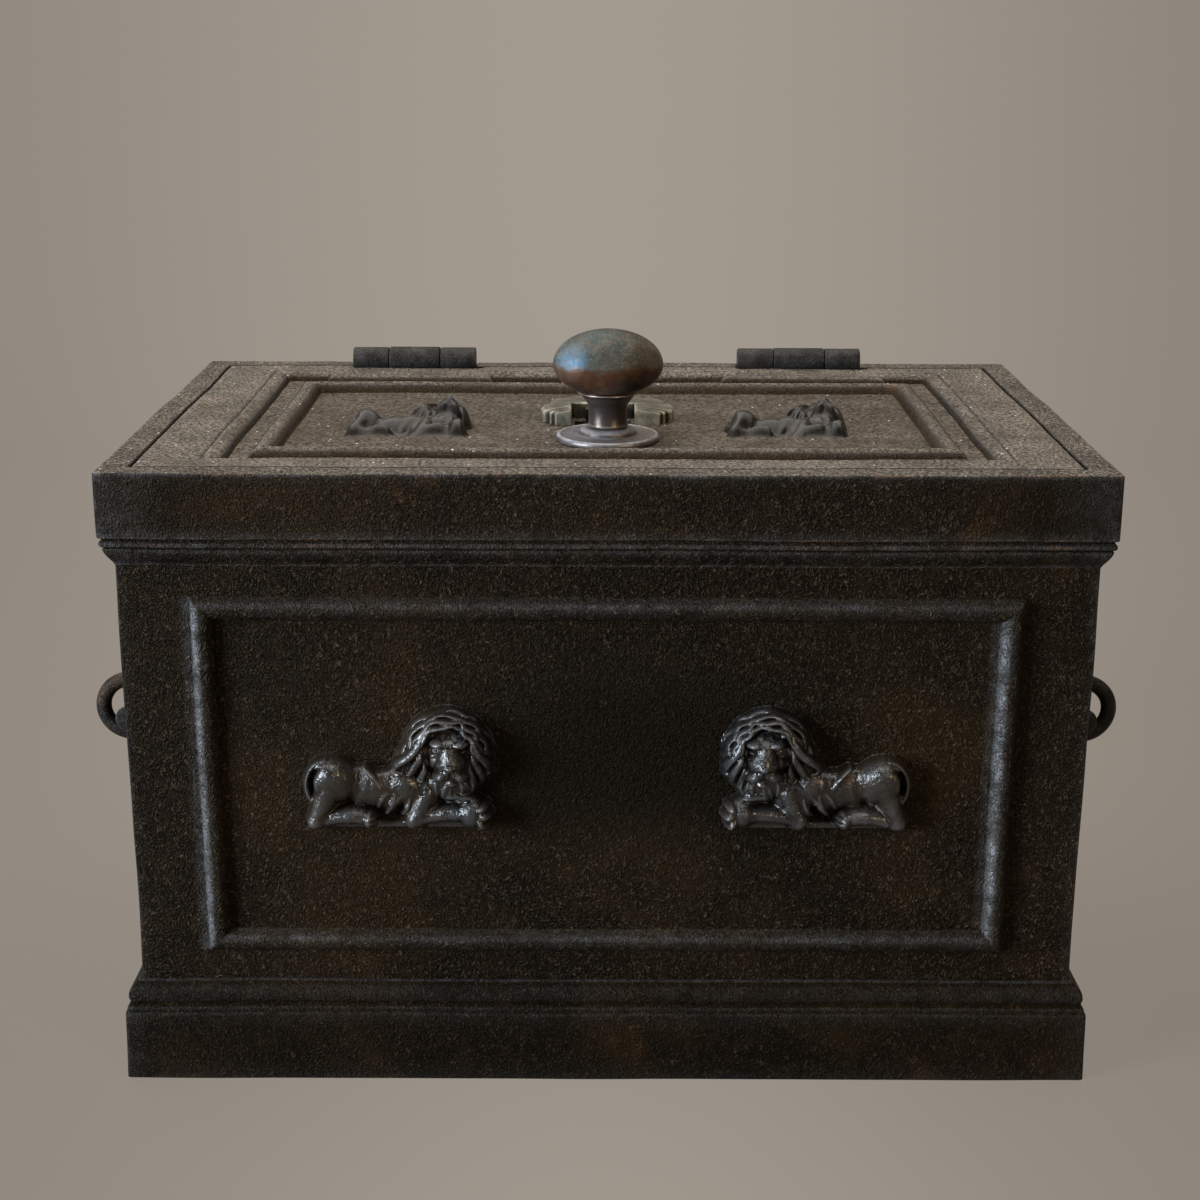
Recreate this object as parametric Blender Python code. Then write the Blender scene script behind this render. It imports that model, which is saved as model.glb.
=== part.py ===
"""Cast-iron strong chest: plated body, drop-in lid, knob-worked bolts, end handles.

Metres, +Z up, front towards -Y. The origin is the middle of the underside.
"""
import math

import bmesh
import bpy
import numpy as np
from mathutils import Matrix, Vector

# General fits
CLEAR = 0.0003
OVERCUT = 0.002

# Overall sizes
RIM_WIDTH = 0.500
RIM_DEPTH = 0.310
CHEST_HEIGHT = 0.327

# Body castings
PLATE = 0.007
BODY_INSET = 0.0067
FLOOR = 0.006
CORNICE_BAND = 0.033
CORNICE_MOULD = 0.015
RIM_EDGE = 0.0008
SKIRT_LAP = 0.011
PLINTH_BAND = 0.0375
PLINTH_MOULD = 0.0165
PLINTH_DRAFT = 0.0012
PLINTH_OUTSET = 0.0030

# Raised frame on the plates
BEAD_WIDTH = 0.0115
BEAD_HEIGHT = 0.0058
BEAD_SIDE = 0.0418
BEAD_TOP = 0.022
BEAD_BOTTOM = 0.0225

# Lid and its seat in the rim
RIM_LAND = 0.0145
LID_GAP = 0.0013
LID_THICK = 0.014
LEDGE_WIDTH = 0.012
LEDGE_THICK = 0.006
LID_BORDER_X = 0.031
LID_BORDER_Y = 0.0165
LID_SINK = 0.005
LID_STEP = 0.0075
LID_BEAD_X = 0.1770
LID_BEAD_FRONT = -0.0965
LID_BEAD_BACK = 0.083
LID_BEAD_WIDTH = 0.013
LID_BEAD_HEIGHT = 0.0052

# Hinges
HINGE_X = 0.1195
HINGE_LENGTH = 0.076
KNUCKLE_END = 0.022
KNUCKLE_RADIUS = 0.00725
HINGE_RISE = 0.0045
HINGE_PIN = 0.003
LEAF = 0.0025
NOTCH_CLEAR = 0.0007
HINGE_PAD_LENGTH = 0.101
HINGE_PAD_WIDTH = 0.0205
HINGE_PAD_SLOPE = 0.004
HINGE_SCREW_X = 0.026

# Knob and rose
KNOB_Y = -0.0515
KNOB_WIDTH = 0.0576
KNOB_DEPTH = 0.042
KNOB_TALL = 0.0335
KNOB_BASE = 0.021
COLLAR_RADIUS = 0.016
COLLAR_DROP = 0.004
COLLAR_EDGE = 0.0015
NECK_RADIUS = 0.0102
ROSE_RADIUS = 0.0275
ROSE_THICK = 0.0032
ROSE_FOOT = 0.0145
ROSE_RISE = 0.0068
ROSE_EDGE = 0.002
ROSE_LIP = 0.001
SPINDLE_RADIUS = 0.004

# Keyhole plate
KEYPLATE_X = -0.0025
KEYPLATE_Y = 0.005
KEYPLATE_RADIUS = 0.037
KEYPLATE_SQUARE = 0.0035
KEYPLATE_LOBE = 0.003
KEYPLATE_LOBES = 8
KEYPLATE_THICK = 0.0088
KEYPLATE_BEVEL = 0.0016
KEY_NOTCH = 0.035
KEY_NOTCH_BACK = 0.0045
KEY_SLOT_WIDTH = 0.008
KEY_SLOT_FRONT = -0.020
WARD_WIDTH = 0.019
WARD_DEPTH = 0.008
WARD_RISE = 0.0065
WARD_SLOT = 0.003

# Lock under the lid
CASE_HALF = 0.060
CASE_FRONT = -0.082
CASE_BACK = 0.012
CASE_DEPTH = 0.018
CASE_WALL = 0.0025
CASE_FLANGE = 0.012
CASE_FLANGE_WIDTH = 0.018
BAR_WIDTH = 0.010
BAR_THICK = 0.007
BAR_DROP = 0.0073
BAR_TIP_CLEAR = 0.0015
BAR_TAIL = 0.025
PITCH_RADIUS = 0.008
TEETH = 10
TOOTH_FILL = 0.72
ADDENDUM = 0.0012
DEDENDUM = 0.0017
GUIDE_INSET = 0.026
GUIDE_LENGTH = 0.012
GUIDE_WALL = 0.0025
GUIDE_FOOT = 0.011
KEY_BOLT_WIDTH = 0.018
KEY_BOLT_LENGTH = 0.024
KEY_TONGUE_WIDTH = 0.006
KEY_TONGUE_DEPTH = 0.004
KEY_TONGUE_LENGTH = 0.006
KEY_BOLT_X = 0.024
KEY_BOLT_REST = 0.001
KEY_BOLT_SIDE = 0.00075

# Lions
LION_X = 0.1045
LION_BASE = 0.1385
LION_WIDTH = 0.100
LION_TALL = 0.070
LION_RELIEF = 0.0175
LID_LION_LEFT = -0.1085
LID_LION_RIGHT = 0.0965
LID_LION_BASE = -0.045
LID_LION_WIDTH = 0.068
LID_LION_TALL = 0.0475
LID_LION_RELIEF = 0.016
LION_CELLS = 30
LION_MARGIN = 0.05
STUD_RADIUS = 0.0025
STUD_HEAD = 0.0045
STUD_HEAD_THICK = 0.002
STUD_ROOT = 0.004

# End handles
HANDLE_HEIGHT = 0.170
EYE_OUT = 0.0205
EYE_SPREAD = 0.050
EYE_RADIUS = 0.0155
EYE_BAR = 0.004
EYE_FLANGE = 0.0115
EYE_FLANGE_THICK = 0.0035
EYE_SHANK = 0.0036
EYE_NUT = 0.0075
EYE_NUT_THICK = 0.005
EYE_THREAD = 0.007
BAIL_RADIUS = 0.0055
BAIL_ARM = 0.0435
BAIL_BEND = 0.010
BAIL_DROP = 0.023
BAIL_BOW = 0.006
BAIL_END = 0.0585
BAIL_HEAD = 0.008
BAIL_HEAD_LENGTH = 0.002

# Corner irons and screws
ANGLE_LEG = 0.022
ANGLE_THICK = 0.003
SCREW_RADIUS = 0.002
SCREW_HEAD = 0.004
SCREW_HEAD_THICK = 0.0022
SCREW_GRIP = 0.004
SCREW_SIDES = 8

# Moulding sections, as shares of the outset and of the height: ledge, groove, torus, fillet
PLINTH_SHARES = (
    (0.86, 0.03), (0.85, 0.13), (0.72, 0.19), (0.72, 0.29), (0.76, 0.38),
    (0.73, 0.53), (0.60, 0.70), (0.40, 0.82), (0.25, 0.85), (0.25, 1.00),
)
# Quirk, small bead, then an ovolo down to the plates
CORNICE_SHARES = (
    (0.80, 0.03), (0.80, 0.12), (0.88, 0.18), (0.86, 0.32), (0.70, 0.44), (0.48, 0.63), (0.22, 0.82),
)
# Quarter round from the lid border down to its panel
LID_STEP_SHARES = ((0.0, 0.0), (0.35, 0.25), (0.75, 0.6), (1.0, 1.0))
# Half round, from one foot over the crown to the other
HALF_ROUND = ((1, 0), (0.91, 0.42), (0.54, 0.84), (0, 1), (-0.54, 0.84), (-0.91, 0.42), (-1, 0))

# Derived places
body_x = RIM_WIDTH / 2 - BODY_INSET
body_y = RIM_DEPTH / 2 - BODY_INSET
inner_x = body_x - PLATE
inner_y = body_y - PLATE
mouth_x = RIM_WIDTH / 2 - RIM_LAND
mouth_y = RIM_DEPTH / 2 - RIM_LAND
lid_x = mouth_x - LID_GAP
lid_y = mouth_y - LID_GAP
lid_bottom = CHEST_HEIGHT - LID_THICK
panel_top = CHEST_HEIGHT - LID_SINK
ledge_top = lid_bottom - CLEAR
ledge_bottom = ledge_top - LEDGE_THICK
ledge_x = mouth_x - LEDGE_WIDTH
cornice_bottom = CHEST_HEIGHT - CORNICE_BAND - CORNICE_MOULD
plate_bottom = FLOOR + CLEAR
plate_top = cornice_bottom + SKIRT_LAP
plinth_top = PLINTH_BAND + PLINTH_MOULD
hinge_y = mouth_y - LID_GAP / 2
hinge_z = CHEST_HEIGHT + HINGE_RISE
hinge_axis = Vector((0, hinge_y, hinge_z))
knob_axis = Vector((0, KNOB_Y, CHEST_HEIGHT))
bar_top = lid_bottom - BAR_DROP
bar_bottom = bar_top - BAR_THICK
case_floor = lid_bottom - CASE_DEPTH
bar_near = PITCH_RADIUS + DEDENDUM
bolt_throw = PITCH_RADIUS * math.pi / 2
eye_x = body_x + EYE_OUT
bail_z = HANDLE_HEIGHT - (EYE_RADIUS - EYE_BAR - BAIL_RADIUS - CLEAR)


def material(name, colour, roughness, metallic):
    """Make one finish."""
    mat = bpy.data.materials.new(name)
    mat.use_nodes = True
    shader = mat.node_tree.nodes["Principled BSDF"]
    shader.inputs["Base Color"].default_value = (*colour, 1)
    shader.inputs["Roughness"].default_value = roughness
    shader.inputs["Metallic"].default_value = metallic
    return mat


def finish(name, bm, mat, origin=(0, 0, 0), sharp=None):
    """Turn a bmesh in world places into an object whose origin is at `origin`."""
    bmesh.ops.recalc_face_normals(bm, faces=bm.faces[:])
    bmesh.ops.translate(bm, verts=bm.verts[:], vec=-Vector(origin))
    mesh = bpy.data.meshes.new(name)
    bm.to_mesh(mesh)
    bm.free()
    if mat:
        mesh.materials.append(mat)
    if sharp:
        mesh.shade_smooth()
        mesh.set_sharp_from_angle(angle=math.radians(sharp))
    obj = bpy.data.objects.new(name, mesh)
    obj.location = origin
    bpy.context.collection.objects.link(obj)
    return obj


def tool(name, bm):
    """A shape that only cuts or joins, left out of the model itself."""
    obj = finish(name, bm, None)
    obj.hide_render = True
    obj.display_type = "WIRE"
    return obj


def combine(obj, other, operation):
    """Join or cut `obj` with a tool shape."""
    mod = obj.modifiers.new(other.name, "BOOLEAN")
    mod.operation = operation
    mod.object = other
    mod.solver = "EXACT"


def add_box(bm, low, high):
    """An upright box between two corners."""
    low, high = Vector(low), Vector(high)
    place = Matrix.Translation((low + high) / 2)
    bmesh.ops.create_cube(bm, size=1, matrix=place @ Matrix.Diagonal((*(high - low), 1)))


def add_loops(bm, loops, closed):
    """Bridge rings of vertices; open runs are capped, closed ones meet themselves."""
    pairs = list(zip(loops, loops[1:] + loops[:1])) if closed else list(zip(loops, loops[1:]))
    for near, far in pairs:
        for i in range(len(near)):
            bm.faces.new((near[i], far[i], far[i - 1], near[i - 1]))
    if not closed:
        bm.faces.new(loops[0])
        bm.faces.new(loops[-1])


def add_ring(bm, profile, half_x, half_y):
    """Carry a closed (outset, height) profile round a rectangle with mitred corners."""
    corners = ((1, 1), (-1, 1), (-1, -1), (1, -1))
    loops = []
    for sx, sy in corners:
        loops.append([bm.verts.new((sx * (half_x + o), sy * (half_y + o), z)) for o, z in profile])
    add_loops(bm, loops, closed=True)


def add_panel(bm, rects, thickness, place):
    """A slab whose face steps through nested rectangles (u0, v0, u1, v1, height)."""
    u0, v0, u1, v1, height = rects[0]
    loops = []
    for u0, v0, u1, v1, height in [(u0, v0, u1, v1, height - thickness)] + rects:
        corners = ((u0, v0), (u1, v0), (u1, v1), (u0, v1))
        loops.append([bm.verts.new(place(u, v, height)) for u, v in corners])
    add_loops(bm, loops, closed=False)


def add_turned(bm, profile, centre, direction=(0, 0, 1), sides=24, depth_share=None):
    """Spin a (radius, distance) profile about a line; zero radii close the ends."""
    turn = Vector((0, 0, 1)).rotation_difference(Vector(direction)).to_matrix().to_4x4()
    place = Matrix.Translation(centre) @ turn
    loops = []
    for radius, along in profile:
        share = depth_share(radius, along) if depth_share else 1
        angles = [2 * math.pi * k / sides for k in range(sides)]
        ring = [Vector((radius * math.cos(a), share * radius * math.sin(a), along)) for a in angles]
        loops.append([bm.verts.new(place @ p) for p in (ring if radius else ring[:1])])
    for near, far in zip(loops, loops[1:]):
        for i in range(sides):
            corners = [ring[k % len(ring)] for ring, k in ((near, i), (far, i), (far, i - 1), (near, i - 1))]
            bm.faces.new(list(dict.fromkeys(corners)))


def add_prism(bm, outline, low, high, place):
    """Extrude a flat outline between two heights."""
    loops = [[bm.verts.new(place(u, v, h)) for u, v in outline] for h in (low, high)]
    add_loops(bm, loops, closed=False)


def add_tube(bm, points, radii, sides):
    """A round bar along a path, with its own radius at each point."""
    points = [Vector(p) for p in points]
    side = Vector((1, 0, 0))
    loops = []
    for i, (point, radius) in enumerate(zip(points, radii)):
        ahead = (points[min(i + 1, len(points) - 1)] - points[max(i - 1, 0)]).normalized()
        side = (side - side.project(ahead)).normalized()
        up = ahead.cross(side)
        angles = [2 * math.pi * k / sides for k in range(sides)]
        loops.append([bm.verts.new(point + radius * (math.cos(a) * side + math.sin(a) * up)) for a in angles])
    add_loops(bm, loops, closed=False)


def add_torus(bm, centre, radius, bar, around, sides):
    """A ring of round bar whose axis runs along Y."""
    loops = []
    for i in range(around):
        a = 2 * math.pi * i / around
        out = Vector((math.cos(a), 0, math.sin(a)))
        angles = [2 * math.pi * k / sides for k in range(sides)]
        ring = [(radius + bar * math.cos(b)) * out + Vector((0, bar * math.sin(b), 0)) for b in angles]
        loops.append([bm.verts.new(Vector(centre) + p) for p in ring])
    add_loops(bm, loops, closed=True)


def flat(u, v, h):
    """Plan coordinates."""
    return (u, v, h)


def arc(centre, radius, start, end, steps):
    """Points on an arc, angles in degrees."""
    angles = np.radians(np.linspace(start, end, steps))
    return [(centre[0] + radius * math.cos(a), centre[1] + radius * math.sin(a)) for a in angles]


# Screws: a round head on a shank, its seat at the given point
def add_screw(name, seat, direction, grip, mat, origin, holes):
    """One screw, and the hole that it needs added to `holes`."""
    direction = Vector(direction)
    head, thick = SCREW_HEAD, SCREW_HEAD_THICK
    profile = [(0, -thick), (head * 0.75, -thick), (head, -thick / 2), (head, 0)]
    profile += [(SCREW_RADIUS, 0), (SCREW_RADIUS, grip), (0, grip)]
    bm = bmesh.new()
    add_turned(bm, profile, Vector(seat) - CLEAR * direction, direction, SCREW_SIDES)
    finish(name, bm, mat, origin, sharp=35)
    wide = SCREW_RADIUS + CLEAR
    deep = grip + CLEAR
    bore = [(0, -OVERCUT), (wide, -OVERCUT), (wide, deep), (0, deep)]
    add_turned(holes, bore, seat, direction, SCREW_SIDES)


# Body
def body_plates(iron):
    """Front, back and end plates with their raised frames."""
    def bead_rects(half, low, high):
        """Outline, then the half-round frame, then the field inside it."""
        frame_half = half - BEAD_SIDE
        frame_low = plinth_top + BEAD_BOTTOM
        frame_high = cornice_bottom - BEAD_TOP
        rects = [(-half, low, half, high, 0)]
        for across, up in HALF_ROUND:
            o = across * BEAD_WIDTH / 2
            rects.append((-frame_half - o, frame_low - o, frame_half + o, frame_high + o, up * BEAD_HEIGHT))
        return rects

    def plate(name, half, place):
        bm = bmesh.new()
        add_panel(bm, bead_rects(half, plate_bottom, plate_top), PLATE, place)
        return finish(name, bm, iron, sharp=30)

    end_half = inner_y - CLEAR
    return {
        "front": plate("front_plate", body_x, lambda u, v, h: (u, -body_y - h, v)),
        "back": plate("back_plate", body_x, lambda u, v, h: (-u, body_y + h, v)),
        "left": plate("left_end_plate", end_half, lambda u, v, h: (-body_x - h, -u, v)),
        "right": plate("right_end_plate", end_half, lambda u, v, h: (body_x + h, u, v)),
    }


def floor_plate(iron):
    """Flat floor inside the plinth, its underside on the ground."""
    bm = bmesh.new()
    add_box(bm, (-body_x, -body_y, 0), (body_x, body_y, FLOOR))
    return finish("floor_plate", bm, iron)


def plinth_frame(iron):
    """Moulded base ring round the foot of the plates."""
    foot = BODY_INSET + PLINTH_OUTSET
    band = foot - PLINTH_DRAFT
    profile = [(CLEAR, 0), (foot, 0), (band, PLINTH_BAND)]
    profile += [(out * band, PLINTH_BAND + up * PLINTH_MOULD) for out, up in PLINTH_SHARES]
    profile += [(CLEAR, plinth_top)]
    bm = bmesh.new()
    add_ring(bm, profile, body_x, body_y)
    return finish("plinth_frame", bm, iron, sharp=30)


def rim_frame(iron):
    """Cornice ring: lid rabbet, ledge for the bolts, skirt over the plates."""
    out = BODY_INSET
    low = CHEST_HEIGHT - CORNICE_BAND
    profile = [(out - RIM_EDGE, CHEST_HEIGHT), (out, CHEST_HEIGHT - RIM_EDGE), (out, low)]
    profile += [(share * out, low - down * CORNICE_MOULD) for share, down in CORNICE_SHARES]
    profile += [(CLEAR, cornice_bottom)]
    profile += [(CLEAR, plate_top + CLEAR), (-PLATE, plate_top + CLEAR), (-PLATE, ledge_bottom)]
    profile += [(ledge_x - body_x, ledge_bottom), (ledge_x - body_x, ledge_top)]
    profile += [(mouth_x - body_x, ledge_top), (mouth_x - body_x, CHEST_HEIGHT)]
    bm = bmesh.new()
    add_ring(bm, profile, body_x, body_y)
    return finish("rim_frame", bm, iron, sharp=30)


def corner_angles(iron):
    """Four angle irons that tie the plates inside."""
    angles = {}
    gap = CLEAR
    leg, thick = ANGLE_LEG, ANGLE_THICK
    outline = [(0, 0), (leg, 0), (leg, thick), (thick, thick), (thick, leg), (0, leg)]
    for end, sy in (("front", -1), ("back", 1)):
        for side, sx in (("left", -1), ("right", 1)):
            bm = bmesh.new()
            corner = [(sx * (inner_x - gap - u), sy * (inner_y - gap - v)) for u, v in outline]
            add_prism(bm, corner, plate_bottom, plate_top, flat)
            angles[end, side] = finish(f"corner_angle_{end}_{side}", bm, iron)
    return angles


# Lions: blobs as (u, v, across, along, lean degrees, height) in shares of the lion's width,
# u from the rump end to the head end, v up from the base, height in shares of the relief
LION_BLOBS = (
    (-0.345, 0.250, 0.142, 0.140, 10, 0.80),
    (-0.410, 0.090, 0.060, 0.105, -12, 0.62),
    (-0.300, 0.055, 0.190, 0.042, 2, 0.55),
    (-0.130, 0.225, 0.210, 0.100, -8, 0.62),
    (0.050, 0.230, 0.120, 0.130, 20, 0.70),
    (0.120, 0.090, 0.060, 0.110, -25, 0.72),
    (0.245, 0.420, 0.205, 0.240, 8, 0.78),
    (0.090, 0.430, 0.090, 0.170, -40, 0.68),
    (0.250, 0.400, 0.120, 0.165, 5, 0.92),
    (0.275, 0.315, 0.075, 0.065, 0, 1.00),
    (0.300, 0.215, 0.110, 0.110, 0, 0.76),
    (0.250, 0.080, 0.220, 0.055, 0, 0.70),
    (0.410, 0.090, 0.085, 0.085, 0, 0.86),
    (0.000, 0.012, 0.470, 0.014, 0, 0.36),
)
LION_STUD_BLOBS = (LION_BLOBS[0], LION_BLOBS[8])


def lion_height(u, v, width, relief):
    """Height over the plate: the greatest of the blobs, below zero outside them."""
    height = np.full(u.shape, -1.0)
    for cu, cv, across, along, lean, tall in LION_BLOBS:
        a = math.radians(lean)
        du, dv = u - cu * width, v - cv * width
        p = (du * math.cos(a) + dv * math.sin(a)) / (across * width)
        q = (dv * math.cos(a) - du * math.sin(a)) / (along * width)
        inside = 1 - p * p - q * q
        dome = np.sqrt(np.maximum(inside, 0)) * 0.75 + 0.25 * np.clip(inside * 6, 0, 1)
        outside = np.minimum(inside, 0) * 0.25
        height = np.maximum(height, tall * relief * (dome + outside))
    return height


def lion(name, width, tall, relief, place, mat, origin=(0, 0, 0)):
    """A recumbent lion in relief, trimmed flat where it meets the plate."""
    margin = LION_MARGIN * width
    columns = LION_CELLS
    rows = int(columns * (tall + 2 * margin) / (width + 2 * margin))
    us = np.linspace(-width / 2 - margin, width / 2 + margin, columns + 1)
    vs = np.linspace(-margin, tall + margin, rows + 1)
    u, v = np.meshgrid(us, vs)
    h = np.maximum(lion_height(u, v, width, relief), -relief / 2)
    bm = bmesh.new()
    front = [[bm.verts.new((u[j, i], v[j, i], h[j, i])) for i in range(columns + 1)] for j in range(rows + 1)]
    for j in range(rows):
        for i in range(columns):
            bm.faces.new((front[j][i], front[j][i + 1], front[j + 1][i + 1], front[j + 1][i]))
    everything = bm.verts[:] + bm.edges[:] + bm.faces[:]
    foot = {"plane_co": (0, 0, 0), "plane_no": (0, 0, 1)}
    bmesh.ops.bisect_plane(bm, geom=everything, dist=1e-6, clear_inner=True, **foot)
    rim = [e for e in bm.edges if e.is_boundary]
    bmesh.ops.triangle_fill(bm, edges=rim, use_beauty=True, normal=(0, 0, -1))
    bmesh.ops.triangulate(bm, faces=[f for f in bm.faces if len(f.verts) > 3])
    for vert in bm.verts:
        vert.co = place(*vert.co)
    return finish(name, bm, mat, origin, sharp=60)


def add_stud(bm, foot, direction, through):
    """A stud from inside a casting, through a wall and riveted over behind it."""
    end = through + STUD_HEAD_THICK
    profile = [(0, -STUD_ROOT), (STUD_RADIUS, -STUD_ROOT), (STUD_RADIUS, through), (STUD_HEAD, through)]
    profile += [(STUD_HEAD * 0.7, end), (0, end)]
    add_turned(bm, profile, foot, direction, SCREW_SIDES)


def stud_lion(casting, wall, feet, direction, through):
    """Cast the studs on a lion and cut their holes in the wall that carries it."""
    studs = bmesh.new()
    holes = bmesh.new()
    wide = STUD_RADIUS + CLEAR
    for foot in feet:
        add_stud(studs, foot, direction, through)
        reach = [(0, 0), (wide, 0), (wide, through + OVERCUT), (0, through + OVERCUT)]
        add_turned(holes, reach, foot, direction, SCREW_SIDES)
    combine(casting, tool("studs_" + casting.name, studs), "UNION")
    combine(wall, tool("stud_holes_" + casting.name, holes), "DIFFERENCE")


def front_lions(iron, front):
    """A facing pair on the front plate, studded through it."""
    face = -body_y - CLEAR
    for name, sx in (("left", -1), ("right", 1)):
        def place(u, v, h, sx=sx):
            return (sx * (LION_X - u), face - h, LION_BASE + v)
        casting = lion("front_lion_" + name, LION_WIDTH, LION_TALL, LION_RELIEF, place, iron)
        feet = [place(blob[0] * LION_WIDTH, blob[1] * LION_WIDTH, 0) for blob in LION_STUD_BLOBS]
        stud_lion(casting, front, feet, (0, 1, 0), PLATE + 2 * CLEAR)


# Lid
def lid_plate(iron):
    """Drop-in lid: flat border, sunk panel, raised bead and pads before the hinges."""
    rects = [(-lid_x, -lid_y, lid_x, lid_y, 0)]
    for across, drop in LID_STEP_SHARES:
        bx = lid_x - LID_BORDER_X - across * LID_STEP
        by = lid_y - LID_BORDER_Y - across * LID_STEP
        rects.append((-bx, -by, bx, by, -drop * LID_SINK))
    for across, up in HALF_ROUND:
        o = across * LID_BEAD_WIDTH / 2
        rise = up * LID_BEAD_HEIGHT - LID_SINK
        rects.append((-LID_BEAD_X - o, LID_BEAD_FRONT - o, LID_BEAD_X + o, LID_BEAD_BACK + o, rise))
    bm = bmesh.new()
    add_panel(bm, rects, LID_THICK, lambda u, v, h: (u, v, CHEST_HEIGHT + h))
    lid = finish("lid_plate", bm, iron, hinge_axis, sharp=30)

    pads = bmesh.new()
    back = lid_y - LID_BORDER_Y + OVERCUT
    for sx in (-1, 1):
        half = HINGE_PAD_LENGTH / 2
        slope = HINGE_PAD_SLOPE
        front = back - OVERCUT - HINGE_PAD_WIDTH
        x = sx * HINGE_X
        low, top = panel_top - OVERCUT, CHEST_HEIGHT - CLEAR
        foot = [pads.verts.new(p) for p in (
            (x - half, front, low), (x + half, front, low), (x + half, back, low), (x - half, back, low))]
        crown = [pads.verts.new(p) for p in (
            (x - half + slope, front + slope, top), (x + half - slope, front + slope, top),
            (x + half - slope, back, top), (x - half + slope, back, top))]
        add_loops(pads, [foot, crown], closed=False)
    combine(lid, tool("hinge_pads", pads), "UNION")
    return lid


def lid_lions(iron, lid):
    """Two like lions lying on the lid panel, feet to the front."""
    through = LID_THICK - LID_SINK + 2 * CLEAR
    for name, x in (("left", LID_LION_LEFT), ("right", LID_LION_RIGHT)):
        def place(u, v, h, x=x):
            return (x + u, LID_LION_BASE + v, panel_top + CLEAR + h)
        sizes = (LID_LION_WIDTH, LID_LION_TALL, LID_LION_RELIEF)
        casting = lion("lid_lion_" + name, *sizes, place, iron, hinge_axis)
        feet = [place(blob[0] * LID_LION_WIDTH, blob[1] * LID_LION_WIDTH, 0) for blob in LION_STUD_BLOBS]
        stud_lion(casting, lid, feet, (0, 0, -1), through)


def hinges(iron, steel, lid, rim):
    """Two butt hinges let into the rear joint, knuckles standing over it."""
    half = HINGE_LENGTH / 2
    middle = half - KNUCKLE_END
    leaf_low = lid_bottom + CLEAR
    leaf_high = hinge_z - KNUCKLE_RADIUS - NOTCH_CLEAR
    neck_high = hinge_z - (KNUCKLE_RADIUS + HINGE_PIN) / 2
    notches = bmesh.new()
    mortises = bmesh.new()
    lid_sites, rim_sites = [], []
    for name, sx in (("left", -1), ("right", 1)):
        x = sx * HINGE_X

        def leaf(title, spans, near, far, origin):
            """Leaf between two Y faces, with a knuckle over each X span."""
            bm = bmesh.new()
            add_box(bm, (x - half, near, leaf_low), (x + half, far, leaf_high))
            obj = finish(title, bm, iron, origin, sharp=30)
            joined = bmesh.new()
            knuckles = bmesh.new()
            for low, high in spans:
                add_box(joined, (x + low, near, leaf_high - OVERCUT), (x + high, far, neck_high))
                bore = HINGE_PIN + CLEAR
                long = high - low
                tube = [(bore, 0), (KNUCKLE_RADIUS, 0), (KNUCKLE_RADIUS, long), (bore, long)]
                add_sleeve(knuckles, tube, (x + low, hinge_y, hinge_z), (1, 0, 0), 20)
            combine(obj, tool("neck_" + title, joined), "UNION")
            combine(obj, tool("knuckle_" + title, knuckles), "UNION")
            return obj

        inner, outer = hinge_y - LID_GAP / 2, hinge_y + LID_GAP / 2
        centre_span = [(-middle + CLEAR, middle - CLEAR)]
        end_spans = [(-half, -middle), (middle, half)]
        leaf("hinge_lid_leaf_" + name, centre_span, inner - LEAF, inner, hinge_axis)
        leaf("hinge_rim_leaf_" + name, end_spans, outer, outer + LEAF, (0, 0, 0))
        pin = bmesh.new()
        add_turned(pin, [(0, 0), (HINGE_PIN, 0), (HINGE_PIN, HINGE_LENGTH), (0, HINGE_LENGTH)],
                   (x - half, hinge_y, hinge_z), (1, 0, 0), 12)
        finish("hinge_pin_" + name, pin, steel, sharp=35)
        wide = half + NOTCH_CLEAR
        round_cut = KNUCKLE_RADIUS + NOTCH_CLEAR
        add_turned(notches, [(0, 0), (round_cut, 0), (round_cut, 2 * wide), (0, 2 * wide)],
                   (x - wide, hinge_y, hinge_z), (1, 0, 0), 20)
        add_box(mortises, (x - half - CLEAR, inner - LEAF - CLEAR, ledge_top),
                (x + half + CLEAR, outer + LEAF + CLEAR, CHEST_HEIGHT + OVERCUT))
        z = (leaf_low + leaf_high) / 2
        for number, t in ((1, -1), (2, 1)):
            at = x + t * HINGE_SCREW_X
            lid_sites.append((f"hinge_lid_screw_{name}_{number}", (at, inner, z), (0, -1, 0)))
            rim_sites.append((f"hinge_rim_screw_{name}_{number}", (at, outer, z), (0, 1, 0)))
    for cut in (tool("hinge_notches", notches), tool("hinge_mortises", mortises)):
        combine(lid, cut, "DIFFERENCE")
        combine(rim, cut, "DIFFERENCE")
    return lid_sites, rim_sites


def add_sleeve(bm, section, start, direction, sides, flats=None):
    """Spin a closed (radius, distance) section into a hollow sleeve, or a nut with outer flats."""
    turn = Vector((0, 0, 1)).rotation_difference(Vector(direction)).to_matrix().to_4x4()
    place = Matrix.Translation(start) @ turn
    bore = min(r for r, t in section)
    loops = []
    for k in range(sides):
        a = 2 * math.pi * k / sides
        flat_share = math.cos(math.pi / flats) if flats and k % 2 else 1
        shares = [(r * flat_share if r > bore else r, t) for r, t in section]
        loops.append([bm.verts.new(place @ Vector((r * math.cos(a), r * math.sin(a), t))) for r, t in shares])
    add_loops(bm, loops, closed=True)


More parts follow.
